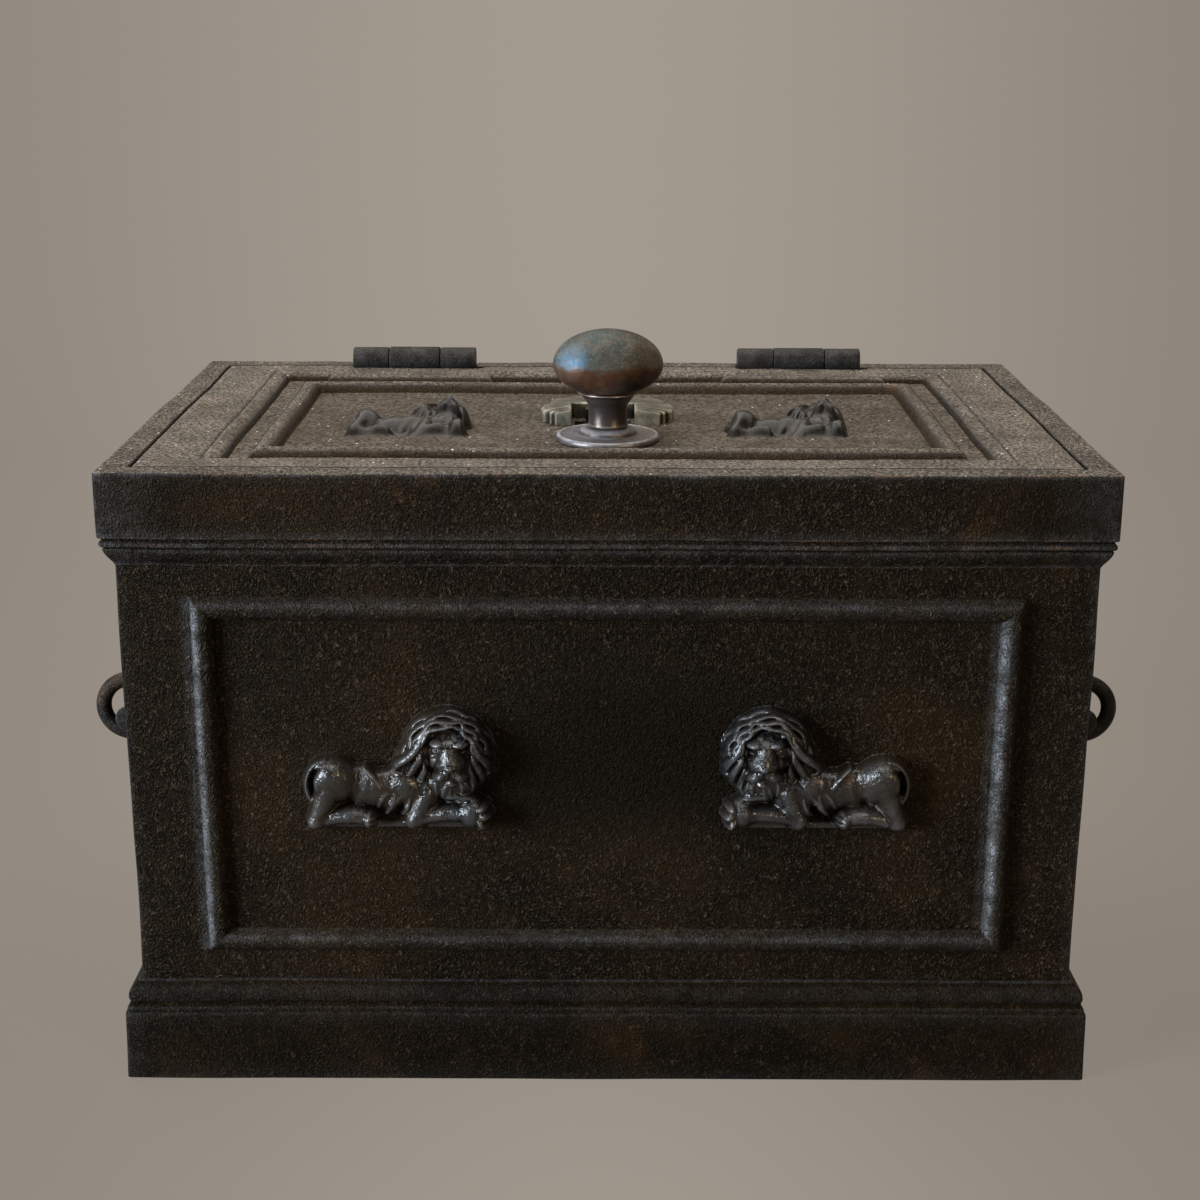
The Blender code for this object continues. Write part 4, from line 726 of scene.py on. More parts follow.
marks += [(s * hinge["x"] + t * padEnd, lid["nearPad"]) for s in (-1, 1) for t in (-1, 1)]
exact = [*cuts, lid["keyX"] - lid["keyHalf"], lid["keyX"] + lid["keyHalf"], -lid["bore"], lid["bore"]]
us = gridLines(-chest["lidX"], chest["lidX"], lid["coarse"], lid["fine"], marks, exact)
marks = [(s * (fieldY - lid["round"] / 2), lid["nearRound"]) for s in (-1, 1)]
marks += [(padFront + lid["padRoll"] / 2, lid["nearPad"]), (lid["beadFront"], lid["nearBead"]),
          (lid["beadBack"], lid["nearBead"]), (-chest["lidY"], lid["nearEdge"]), lid["nearHinge"]]
exact = [lid["keyFront"], lid["keyBack"], lid["knobY"] - lid["bore"], lid["knobY"] + lid["bore"]]
vs = gridLines(-chest["lidY"], chest["lidY"], lid["coarse"], lid["fine"], marks, exact)
x, y = np.meshgrid(us, vs, indexing="ij")
into = -np.maximum(np.abs(x) - fieldX, np.abs(y) - fieldY)
fall = 1 - np.sqrt(1 - np.clip(into / lid["round"], 0, 1) ** 2)
rise = -lid["sink"] * fall - lid["quirk"] * np.exp(-((into - lid["quirk"]) / lid["quirkWide"]) ** 2)
panelMiddle, panelTall = (lid["beadBack"] + lid["beadFront"]) / 2, (lid["beadBack"] - lid["beadFront"]) / 2
off = np.abs(np.maximum(np.abs(x) - lid["beadX"], np.abs(y - panelMiddle) - panelTall)) / lid["beadHalf"]
rise += lid["beadRise"] * np.clip(1 - off ** 2, 0, 1) ** bead["round"]
out = np.maximum(np.abs(np.abs(x) - hinge["x"]) - lid["padHalf"], padFront - y)
pad = np.sqrt(1 - np.clip(1 + out / lid["padRoll"], 0, 1) ** 2)
pad = np.maximum(rise, lid["sink"] * (pad - 1) - lid["padSink"])
rise = np.where((out < 0) & (y < fieldY + lid["padPast"]), pad, rise)
shy = np.clip(lid["edge"] - np.minimum(chest["lidX"] - np.abs(x), chest["lidY"] - np.abs(y)), 0, None)
rise -= lid["edge"] - np.sqrt(np.clip(lid["edge"] ** 2 - shy ** 2, 0, None))
upper = uneven(np.stack([x, y, chest["top"] + rise], -1))
spanned, upper[..., 2] = hingeCut(upper)
lower = np.stack([x, y, 0 * x + chest["lidLow"]], -1)
shelfBack = chest["lidY"] - hinge["leaf"] - chest["gap"]
for sheet in (upper, lower):
    sheet[..., 1] = np.where(spanned, np.minimum(sheet[..., 1], shelfBack), sheet[..., 1])
midX, midY = (us[1:] + us[:-1])[:, None] / 2, (vs[1:] + vs[:-1])[None] / 2
slotted = (np.abs(midX - lid["keyX"]) < lid["keyHalf"]) & (midY > lid["keyFront"]) & (midY < lid["keyBack"])
bored = (np.abs(midX) < lid["bore"]) & (np.abs(midY - lid["knobY"]) < lid["bore"])


# the sunk field is browner than the border, most of all inside the bead
def inField(x, y, z):
    share, fieldSoft, panelSoft = lid["brown"]
    field = np.maximum(np.abs(x) - fieldX + lid["round"], np.abs(y) - fieldY + lid["round"]) / fieldSoft
    panel = np.maximum(np.abs(x) - lid["beadX"], np.abs(y - panelMiddle) - panelTall) / panelSoft
    return share * np.clip(0.5 - field, 0, 1) + share * np.clip(-panel, 0, 1)


makePiece("lid", [slabShell(upper, lower, ~(slotted | bored))], "lidIron", "lid", ["lid_plate"], "black_iron",
          edges=lid["edges"], stain=inField)
print("lid made")


# distance to a path, and the share of its length and the side at the nearest point
def alongPath(u, v, path):
    path = np.asarray(path, float)
    steps = np.hypot(*np.diff(path, axis=0).T)
    start = np.concatenate([[0], np.cumsum(steps)])
    best, share, side = np.full(u.shape, 1e9), np.zeros(u.shape), np.zeros(u.shape)
    for k, (a, b) in enumerate(zip(path[:-1], path[1:])):
        run = b - a
        t = np.clip(((u - a[0]) * run[0] + (v - a[1]) * run[1]) / (run @ run), 0, 1)
        du, dv = u - a[0] - t * run[0], v - a[1] - t * run[1]
        far = np.hypot(du, dv)
        near = far < best
        best = np.where(near, far, best)
        share = np.where(near, (start[k] + t * steps[k]) / start[-1], share)
        side = np.where(near, np.sign(run[0] * dv - run[1] * du), side)
    return best, share, side


# polynomial curve through a few points
def throughPoints(points, count=12):
    points = np.asarray(points, float)
    knots, at = np.linspace(0, 1, len(points)), np.linspace(0, 1, count)
    power = min(len(points) - 1, 5)
    return np.stack([np.polyval(np.polyfit(knots, points[:, c], power), at) for c in (0, 1)], 1)


# dome over an ellipse, top (1 - s)^power, falling away outside it
def lobe(u, v, cu, cv, ru, rv, lean, top, power=0.425):
    a = math.radians(lean)
    p = ((u - cu) * math.cos(a) + (v - cv) * math.sin(a)) / ru
    q = ((v - cv) * math.cos(a) - (u - cu) * math.sin(a)) / rv
    s = p * p + q * q
    return np.where(s < 1, top * np.clip(1 - s, 0, 1) ** power, -(np.sqrt(s) - 1) * min(ru, rv) * 1.6)


# rounded strip along a path, its width and top tapering, grooved along its length
def strand(u, v, path, wide, top, grooves=0, cut=0.0, floor=0.0):
    d, t, side = alongPath(u, v, path)
    wide = np.interp(t, np.linspace(0, 1, len(wide)), wide)
    top = np.interp(t, np.linspace(0, 1, len(top)), top)
    s = d / wide
    dome = floor + (top - floor) * np.sqrt(np.clip(1 - s * s, 0, 1))
    h = np.where(s < 1, dome, floor - (s - 1) * 6 * wide)
    if grooves:
        comb = np.cos(math.pi * (grooves * np.clip(s * side, -1, 1) + (grooves + 1) % 2))
        h = h - cut * (0.5 + 0.5 * comb) * (s < 1)
    return h


# soft union, log(sum(exp(k h))) / k
def blend(parts, k):
    top = np.max(parts, axis=0)
    return top + np.log(np.sum(np.exp(k * (np.array(parts) - top)), axis=0)) / k


# hollow line, deep exp(-(d / wide)^2), shallower at its ends
def groove(u, v, path, wide, deep):
    d, t, side = alongPath(u, v, path)
    return deep * np.clip(np.minimum(t, 1 - t) * 6, 0.25, 1) * np.exp(-(d / wide) ** 2)


# recumbent lion in relief, millimetres: u from rump to head, v up from the base;
# lobes are (u, v, radius, radius, lean, top, power), locks (width, height, points),
# limbs (points, widths, tops), hollows (points, width, depth)
lion = {
    "trunk": [(-34.2, 24.8, 14.0, 14.8, 10, 15.0, 0.52), (-19.0, 22.0, 16.0, 11.6, -10, 8.8),
              (-6.0, 20.5, 15.0, 11.6, 5, 9.6), (4.0, 21.0, 9.0, 11.0, 20, 11.0),
              (14.0, 17.0, 9.0, 12.0, 0, 10.5)],
    "cap": [(23.8, 42.4, 23.0, 23.6, 0, 13.5), (6.0, 37.0, 9.5, 13.0, -35, 10.0),
            (26.0, 24.0, 15.0, 13.0, 0, 11.0), (38.5, 39.0, 9.5, 16.0, 10, 11.0)],
    "skull": [(25.0, 40.8, 12.2, 13.6, 4, 17.4, 0.42), (19.8, 45.2, 6.2, 4.0, -10, 19.4),
              (30.6, 45.0, 6.0, 3.9, 10, 19.2), (18.4, 35.2, 5.6, 6.6, 15, 14.6),
              (32.0, 35.0, 5.4, 6.4, -15, 14.4)],
    "muzzle": [(25.8, 31.0, 8.8, 8.4, 0, 20.0, 0.42), (21.2, 28.2, 6.4, 4.8, 14, 20.2, 0.5),
               (30.4, 28.2, 6.3, 4.8, -14, 20.0, 0.5), (25.9, 32.4, 6.2, 3.3, 0, 23.6),
               (25.9, 23.0, 6.0, 3.0, 0, 12.5)],
    "waves": {"middle": (25.0, 41.4), "radii": (13.8, 16.9, 20.0, 22.8), "left": (62.0, 200.0),
              "right": (68.0, -22.0), "sway": 0.8, "turns": 2.6, "shift": 1.7, "wide": 1.6,
              "tall": (5.4, 5.0, 4.4, 3.4)},
    "locks": [
        (3.6, 6.4, [(16.0, 50.0), (11.4, 47.4), (8.2, 41.6), (3.4, 37.0), (-1.6, 34.6), (-2.6, 30.6),
                    (1.4, 29.0)]),
        (2.9, 5.8, [(13.6, 42.4), (11.0, 37.0), (8.0, 32.0), (5.8, 27.0), (7.6, 22.4)]),
        (2.6, 5.4, [(13.6, 35.4), (12.8, 29.8), (10.8, 25.0), (10.6, 19.6), (12.6, 16.4)]),
        (3.2, 5.8, [(34.6, 49.8), (38.6, 46.4), (41.0, 40.8), (44.6, 36.2), (47.2, 31.6), (45.0, 28.8)]),
        (2.8, 5.4, [(36.6, 41.4), (38.6, 36.0), (41.4, 31.0), (42.8, 25.8), (40.6, 21.8)]),
        (2.5, 5.0, [(36.0, 34.0), (37.0, 28.6), (38.6, 23.4), (37.2, 18.6)]),
        (3.6, 2.2, [(18.6, 24.6), (16.8, 19.4), (19.6, 14.2)]),
        (3.8, 1.6, [(25.4, 21.0), (24.2, 16.6), (26.4, 12.0)]),
        (3.6, 2.2, [(32.4, 24.2), (34.2, 19.0), (31.6, 14.0)])],
    "belly": [(-5.0, 18.0, -10.4, 10.4), (-1.4, 17.4, -6.4, 7.4), (2.6, 16.6, -2.6, 9.6),
              (6.4, 15.0, 1.8, 7.0), (0.0, 24.5, -3.8, 17.0), (5.0, 23.8, 1.6, 16.0), (9.0, 21.8, 6.6, 14.6)],
    "limbs": {
        "fold": ([(-17.2, 33.4), (-13.0, 28.4), (-8.6, 21.5)], [1.4, 2.0, 1.4], [8.8, 11.0, 9.6]),
        "tail": ([(-37.0, 37.0), (-44.0, 33.0), (-47.4, 25.0), (-46.6, 17.0), (-43.6, 10.0)],
                 [1.8, 2.2, 2.3, 2.0, 1.8], [10.0, 9.6, 9.0, 8.0, 7.4]),
        "thigh": ([(-35.5, 19.0), (-39.6, 11.0), (-43.6, 4.0)], [9.0, 6.6, 5.2], [14.2, 12.6, 11.0]),
        "shank": ([(-37.0, 4.4), (-26.0, 6.4), (-15.0, 4.8)], [4.2, 5.0, 4.4], [9.8, 11.0, 10.4]),
        "upperArm": ([(15.6, 17.5), (12.4, 11.0), (9.4, 5.2)], [5.4, 6.8, 6.8], [10.8, 11.4, 10.8]),
        "foreArm": ([(12.0, 5.4), (24.0, 7.6), (36.0, 7.8)], [4.2, 4.8, 5.4], [10.4, 11.6, 12.6]),
        "farArm": ([(27.0, 16.5), (35.0, 15.0), (41.0, 13.0)], [4.6, 4.4, 3.6], [10.4, 10.4, 9.6]),
        "bridge": ([(25.0, 43.6), (25.4, 39.4), (25.9, 35.0)], [5.0, 6.2, 7.8], [17.8, 20.0, 22.2]),
    },
    "hollows": {
        "flank": ([(-21.0, 33.5), (-20.2, 25.5), (-22.4, 17.0), (-28.0, 11.0)], 2.6, 0.9),
        "behind": ([(-40.4, 31.5), (-44.2, 26.0), (-44.2, 19.5), (-41.8, 14.0)], 1.3, 8.0),
        "foreArm": ([(17.0, 10.8), (24.0, 12.8), (33.0, 13.2)], 1.0, 3.0),
        "brow": ([(24.9, 52.0), (25.0, 48.0), (25.2, 44.0)], 2.0, 1.0),
        "mouth": ([(17.6, 27.0), (21.4, 24.0), (25.9, 25.6), (30.4, 24.0), (34.2, 27.0)], 1.1, 2.8),
    },
    "heel": (-42.4, 3.8, 6.2, 4.6, 0, 11.2), "hindPaw": (-14.8, 4.8, 4.2, 4.6, 0, 11.8),
    "elbow": (7.8, 4.8, 5.4, 5.0, 20, 11.0), "paw": (38.4, 8.0, 9.4, 8.0, 0, 14.2, 0.5), "toes": (-42, 40),
    "eyes": [(18.4, 41.0, -20), (32.2, 40.8, 20)], "socket": (7.0, 3.4, 2.0), "ball": (1.7, 1.0, 12.0, 2.4),
    "nostrils": [(23.2, 30), (28.6, -30)], "ringed": (24.9, 39.4, 11.9, 14.2, 4, 1.0),
    "ground": {"half": 46.5, "fall": 6, "middle": 0.8, "tall": 1.8, "drop": 5}, "lowTo": (2, 20),
    "rollFrom": (12, 45), "hollowTall": 13, "sharp": 70,
    "half": 52, "low": -3.5, "high": 70.5, "cells": (285, 194), "foot": -0.6, "lean": 0.38, "leanFrom": 14,
    "leanPasses": 150, "rimSteps": 24, "tall": 0.97, "wide": 0.98,
}


# a limb of the lion, by name
def limb(u, v, name, count=12, floor=0.0):
    points, wide, top = lion["limbs"][name]
    return strand(u, v, throughPoints(points, count), wide, top, floor=floor)


# a hollow line of the lion, by name
def hollow(u, v, name, count=12):
    points, wide, deep = lion["hollows"][name]
    return groove(u, v, throughPoints(points, count), wide, deep)


# trunk, tail and hind leg
def lionBody(u, v):
    trunk = blend([lobe(u, v, *part) for part in lion["trunk"]], 0.7)
    trunk -= hollow(u, v, "flank")
    trunk = blend([trunk, limb(u, v, "fold", floor=5)], 0.9)
    trunk -= hollow(u, v, "behind", 16)
    leg = blend([limb(u, v, "thigh"), lobe(u, v, *lion["heel"]), limb(u, v, "shank"),
                 lobe(u, v, *lion["hindPaw"])], 1.0)
    for k in range(3):  # between the toes
        leg -= groove(u, v, [(-14.6, 7.4 - 2.3 * k), (-10.6, 7.0 - 2.5 * k)], 0.6, 2.0)
    return [trunk, limb(u, v, "tail", 20), leg]


# tufts along the belly and the ribs, each from its root to its tip
def lionBelly(u, v):
    rows = []
    for k, (fromU, fromV, toU, toV) in enumerate(lion["belly"]):
        sway = 1.2 if k % 2 else -0.8
        path = throughPoints([(fromU, fromV), ((fromU + toU) / 2 + sway, (fromV + toV) / 2), (toU, toV)])
        rows.append(strand(u, v, path, [2.2, 2.8, 0.8], [9.8, 9.8, 6.4], 2, 0.4, 5))
    return blend(rows, 1.0)


# fore legs and the near paw
def lionArms(u, v):
    arms = blend([limb(u, v, "upperArm"), lobe(u, v, *lion["elbow"]), limb(u, v, "foreArm"),
                  lobe(u, v, *lion["paw"]), limb(u, v, "farArm")], 1.1)
    for k in range(3):  # toes in an arc round the paw
        a = math.radians(lion["toes"][0] + lion["toes"][1] * k)
        toe = (38.8 + 5.8 * math.cos(a), 7.8 + 5.0 * math.sin(a), 5.0, 3.2, math.degrees(a), 15.2, 0.5)
        arms = blend([arms, lobe(u, v, *toe)], 2.6)
    return arms - hollow(u, v, "foreArm")


# mane: a round cap with thick locks and waved bands raised on it
def lionMane(u, v):
    cap = blend([lobe(u, v, *part, 0.62) for part in lion["cap"]], 0.8)
    locks = []
    for wide, tall, points in lion["locks"]:
        widths = [share * wide for share in (0.5, 0.76, 0.84, 0.74, 0.3)]
        tops = [share * tall for share in (0.6, 1.0, 1.0, 0.95, 0.6)]
        locks.append(strand(u, v, throughPoints(points, 20), widths, tops, 1, 0.8))
    waves = lion["waves"]
    t = np.linspace(0, 1, 28)
    for k, (far, tall) in enumerate(zip(waves["radii"], waves["tall"])):  # bands combed round the crown
        for first, last in (waves["left"], waves["right"]):
            angle = np.radians(first + (last - first) * t)
            reach = far + waves["sway"] * np.sin(2 * math.pi * waves["turns"] * t + waves["shift"] * k)
            path = np.stack([reach * np.cos(angle), reach * np.sin(angle)], 1) + waves["middle"]
            locks.append(strand(u, v, path, waves["wide"] * np.array([0.6, 1.0, 1.0, 1.0, 0.5]),
                                tall * np.array([0.7, 1.0, 1.0, 1.0, 0.6]), 1, 0.7))
    mane = cap + np.clip(blend([np.max(locks, axis=0), 0 * u], 3.0), 0, 9)
    return mane - 3.0 * np.exp(-(lobe(u, v, *lion["ringed"]) / 0.5) ** 2)  # sunk round the face


# face: skull, eyes, brows, bridge and muzzle
def lionFace(u, v):
    skull = blend([lobe(u, v, *part) for part in lion["skull"]], 0.8)
    skull -= hollow(u, v, "brow")
    (deep, socketU, socketV), (ballU, ballV, ballFoot, ballRise) = lion["socket"], lion["ball"]
    for eu, ev, lean in lion["eyes"]:
        skull -= deep * np.exp(-(((u - eu) / socketU) ** 2 + ((v - ev) / socketV) ** 2))
        ball = np.clip(lobe(u, v, eu, ev - 0.3, ballU, ballV, lean, 1.0), -9, 1)
        skull = np.maximum(skull, ballFoot + ballRise * ball)
    bridge = limb(u, v, "bridge", floor=12.0)
    muzzle = blend([lobe(u, v, *part) for part in lion["muzzle"]], 1.2)
    face = blend([skull, bridge, muzzle], 1.0)
    face -= groove(u, v, [(25.9, 30.0), (25.9, 26.0)], 0.8, 2.4)
    face -= hollow(u, v, "mouth")
    for nu, lean in lion["nostrils"]:
        face -= 1.6 * np.clip(lobe(u, v, nu, 31.2, 1.7, 0.9, lean, 1.0), 0, 1)
    return face


# passes of a 1-2-1 average along both axes
def softened(field, passes):
    for axis in (0, 1):
        for _ in range(passes):
            field = 0.25 * np.roll(field, 1, axis) + 0.5 * field + 0.25 * np.roll(field, -1, axis)
    return field


# grid of the relief on a strip of ground, its outline rounded over the roll at the feet and at the head
def lionShape(ground, roll, passes, low, turn, hollows=()):
    half, (cellsU, cellsV) = lion["half"], lion["cells"]
    u, v = np.meshgrid(np.linspace(-half, half, cellsU), np.linspace(lion["low"], lion["high"], cellsV),
                       indexing="ij")
    bed = lion["ground"]
    strip = np.minimum(ground, ground - (np.abs(u) - bed["half"]) * bed["fall"])
    strip = strip - np.clip(np.abs(v - bed["middle"]) - bed["tall"], 0, None) * bed["drop"]
    relief = blend([*lionBody(u, v), lionBelly(u, v), lionArms(u, v), strip, lionMane(u - turn[0], v)], 2.2)
    relief = np.maximum(np.maximum(relief, lionFace(u - turn[1], v)), -3)
    relief = relief * np.interp(v, lion["lowTo"], [low, 1])
    for at, wide, share in hollows:  # worn away between the paws
        relief = relief * (1 - share * np.exp(-((u - at) / wide) ** 2 - (v / lion["hollowTall"]) ** 2))
    relief = softened(relief, passes)  # soft cast edges
    # steps in from the outline round its rim: relief sqrt(1 - (1 - depth / roll)^2)
    inside, depth, cell = relief > 0, 0 * relief, 2 * half / (cellsU - 1)
    for k in range(lion["rimSteps"]):
        depth += cell * inside
        sides = [np.roll(inside, step, axis) for step, axis in ((1, 0), (-1, 0), (1, 1), (-1, 1))]
        inside = inside & np.logical_and.reduce(sides)
        if k % 2:
            inside = inside & np.roll(inside, (1, 1), (0, 1)) & np.roll(inside, (-1, 1), (0, 1))
    share = np.clip(softened(depth, 4) / np.interp(v, lion["rollFrom"], roll), 0, 1)
    relief = np.where(relief > 0, relief * np.sqrt(1 - (1 - share) ** 2), relief)
    # the high parts lean up, as the castings look up at the viewer
    lean = softened(np.maximum(relief, 0), lion["leanPasses"])
    v = lion["tall"] * (v + lion["lean"] * lean * np.clip(v / lion["leanFrom"], 0, 1))
    relief = np.maximum(relief, lion["foot"])
    high = np.maximum.reduce([relief[:-1, :-1], relief[1:, :-1], relief[:-1, 1:], relief[1:, 1:]])
    return lion["wide"] * u, v, relief, high > lion["foot"] + 0.05


rivets = {
    "at": ((-34.5, 25.0), (25.0, 40.0)), "sides": 16,
    "profile": [(0.0, 0.0020), (0.0014, 0.0019), (0.0028, 0.0014), (0.0040, 0.0005), (0.0045, 0.0),
                (0.0025, 0.0), (0.0025, -0.0070), (0.0, -0.0070)],
}


# a lion laid on a face, scaled, with its two rivet heads behind the wall
def makeLion(name, node, shape, finish, body, scale, tall, lay, wall, behind):
    u, v, relief, cells = shape
    sheets = [np.stack(lay(u * scale, v * scale, h * tall), -1) for h in (relief, 0 * relief + lion["foot"])]
    shells = [slabShell(sheets[0], sheets[1], cells)]
    for ru, rv in rivets["at"]:
        place = np.array(lay(ru * scale, rv * scale, -wall))
        shells.append(placed(turned(rivets["profile"], rivets["sides"]), place, behind))
    makePiece(name, shells, finish, body, [node], "black_iron", sharp=lion["sharp"])


frontLions = {"x": 0.1060, "base": 0.1412, "scale": 0.001, "shape": (2.0, (2.6, 3.2), 2, 1.0, (1.2, 2.2))}
lidLions = {
    "left": -0.1085, "right": 0.0965, "base": -0.0450, "scale": 0.00068, "tall": 0.00074,
    "shape": (0.4, (7.0, 6.0), 30, 0.66, (3.0, 7.0),
              [(-31.0, 5.0, 0.45), (3.0, 10.0, 0.8), (33.0, 4.0, 0.55)]),
}
shape = lionShape(*frontLions["shape"])
for side, s in (("left", -1), ("right", 1)):
    makeLion("frontLion" + side.title(), "front_lion_" + side, shape, "lionIron", "chest",
             frontLions["scale"], frontLions["scale"],
             lambda u, v, h, s=s: (s * (frontLions["x"] - u), -chest["bodyY"] - h, frontLions["base"] + v),
             chest["plate"], (0, 1, 0))
shape = lionShape(*lidLions["shape"])
for side in ("left", "right"):
    makeLion("lidLion" + side.title(), "lid_lion_" + side, shape, "lidLionIron", "lid",
             lidLions["scale"], lidLions["tall"],
             lambda u, v, h, x=lidLions[side]: (x + u, lidLions["base"] + v, chest["panel"] + h),
             chest["panel"] - chest["lidLow"], (0, 0, -1))
print("lions made, relief", round(float(shape[2].max()), 2), "mm")

# knob: egg on a cup-shaped collar and a round neck;
# below its widest row the y radius is collar + k (r - collar)
knob = {
    "y": -0.0515, "base": 0.3484, "middle": 0.3626, "top": 0.3812, "wide": 0.0291, "depthShare": 0.729,
    "collar": 0.0160, "rows": 48, "sides": 112, "sharp": 50,
    "stem": [(0.0, 329.4), (9.6, 329.4), (10.4, 329.8), (10.6, 330.6), (10.2, 331.4), (10.2, 340.2),
             (10.5, 341.2), (11.0, 342.0), (12.1, 343.6), (13.4, 345.2), (14.4, 346.4), (15.0, 347.1),
             (15.7, 347.3), (16.1, 347.7), (16.0, 348.1), (15.4, 348.4)],
}
start = math.asin(knob["collar"] / knob["wide"])
a = np.linspace(start, math.pi, knob["rows"])
below, above = (knob["middle"] - knob["base"]) / math.cos(start), knob["top"] - knob["middle"]
ease = np.clip((a - math.pi / 2) / 1.2 + 0.5, 0, 1)
half = below + (above - below) * ease ** 2 * (3 - 2 * ease)
egg = np.column_stack([knob["wide"] * np.sin(a), knob["middle"] - half * np.cos(a)])
egg[-1, 0] = 0
points, faces = turned(np.concatenate([np.array(knob["stem"]) / 1000, egg[1:]]), knob["sides"])
far = np.maximum(np.hypot(points[:, 0], points[:, 1]), 1e-9)
k = (knob["wide"] * knob["depthShare"] - knob["collar"]) / (knob["wide"] - knob["collar"])
oval = (knob["collar"] + k * (far - knob["collar"])) / far
oval = np.where(points[:, 2] < knob["middle"], oval, knob["depthShare"])
points[:, 1] *= np.where(points[:, 2] < knob["base"], 1, oval)
makePiece("knobEgg", [(points + (0, knob["y"], 0), faces)], "knobBronze", "turn_knob", ["knob"], "bronze",
          sharp=knob["sharp"])

# rose: rolled edge, shallow dish, flared foot up to the neck
rose = {
    "seat": 0.3222, "ease": 0.0008, "sides": 112, "sharp": 45,
    "section": [(4.3, 0.0), (26.9, 0.0), (27.4, 0.5), (27.5, 1.4), (27.3, 2.4), (26.8, 3.1), (26.1, 3.4),
                (25.4, 3.3), (24.8, 2.9), (23.6, 2.7), (20.5, 2.7), (17.6, 2.8), (16.2, 3.0), (15.5, 3.5),
                (15.1, 4.4), (14.7, 5.4), (13.9, 6.2), (12.8, 6.7), (11.6, 6.85), (4.3, 6.85)],
}
section = eased(np.array(rose["section"]) / 1000, rose["ease"])
shell = placed(turned(section, rose["sides"], True), (0, knob["y"], rose["seat"]))
makePiece("knobRose", [shell], "roseBronze", "lid", ["knob_rose"], "bronze", sharp=rose["sharp"])

# keyhole plate: flat-ended lobes round a notch; sections run from the outline in to the notch wall
keyPlate = {
    "x": -0.0025, "y": 0.0050, "seat": 0.3222, "thick": 0.0088, "edge": 0.0066, "bevel": 0.0008,
    "corner": 0.0009, "slope": 0.016, "notch": 0.0175, "back": 0.0045, "sharp": 25,
    "half": [(8.0, -15.5), (28.6, -15.5), (29.6, -12.6), (31.8, -12.2), (32.4, -8.4), (35.6, -7.4),
             (37.0, 1.0), (35.8, 9.6), (31.8, 11.2), (32.6, 18.0), (28.4, 27.6), (23.6, 29.6), (20.6, 28.0),
             (18.4, 33.0), (8.0, 38.6)],
}
middle = (keyPlate["x"], keyPlate["y"])
half = np.array(keyPlate["half"]) / 1000
outline = eased(np.concatenate([half, (half * (-1, 1))[::-1]]) - middle, keyPlate["corner"])
angle = np.unwrap(np.arctan2(outline[:, 1], outline[:, 0]))
angle, outline = np.concatenate([angle, angle + 2 * math.pi]), np.concatenate([outline, outline])
opening = math.atan2(keyPlate["notch"], keyPlate["y"] - half[0, 1])
ends = (-math.pi / 2 + opening, 1.5 * math.pi - opening)
around = np.unique(np.concatenate([angle[(angle > ends[0]) & (angle < ends[1])], ends]))
edgeOut = np.stack([np.interp(around, angle, outline[:, c]) for c in (0, 1)], 1) + middle
left, right = keyPlate["x"] - keyPlate["notch"], keyPlate["x"] + keyPlate["notch"]
edgeOut[0, 0], edgeOut[-1, 0] = right, left
fork = np.array([edgeOut[0], (right, keyPlate["back"]), (left, keyPlate["back"]), edgeOut[-1]])
runs = np.concatenate([[0], np.cumsum(np.hypot(*np.diff(fork, axis=0).T))])
walk = np.linspace(0, runs[-1], len(around))
for corner in runs[1:3]:
    walk[np.argmin(np.abs(walk - corner))] = corner
edgeIn = np.stack([np.interp(walk, runs, fork[:, c]) for c in (0, 1)], 1)
gapAcross = np.maximum(np.linalg.norm(edgeIn - edgeOut, axis=1, keepdims=True), 1e-6)
bevel = np.minimum(keyPlate["bevel"] / gapAcross, 0.2)
slope = (keyPlate["thick"] - keyPlate["edge"]) * np.clip(gapAcross / keyPlate["slope"], 0, 1)
level = keyPlate["edge"] - keyPlate["bevel"]
stages = [(0.0, 0.0), (0.0, level - keyPlate["bevel"]), (0.0, level), (bevel, keyPlate["edge"])]
stages += [(share, keyPlate["edge"] + slope * share) for share in (2 * bevel, 0.5, 1 - 2 * bevel, 1 - bevel)]
stages += [(1.0, level + slope), (1.0, level + slope - keyPlate["bevel"]), (1.0, 0.0)]
rings = []
for share, rise in stages:
    height = keyPlate["seat"] + rise + 0 * gapAcross
    rings.append(np.concatenate([edgeOut + share * (edgeIn - edgeOut), height], 1))
makePiece("keyholePlate", [ringShell(np.stack(rings, 1))], "oldBrass", "lid", ["keyhole_plate"], "brass",
          sharp=keyPlate["sharp"])
print("knob, rose and keyhole plate made")

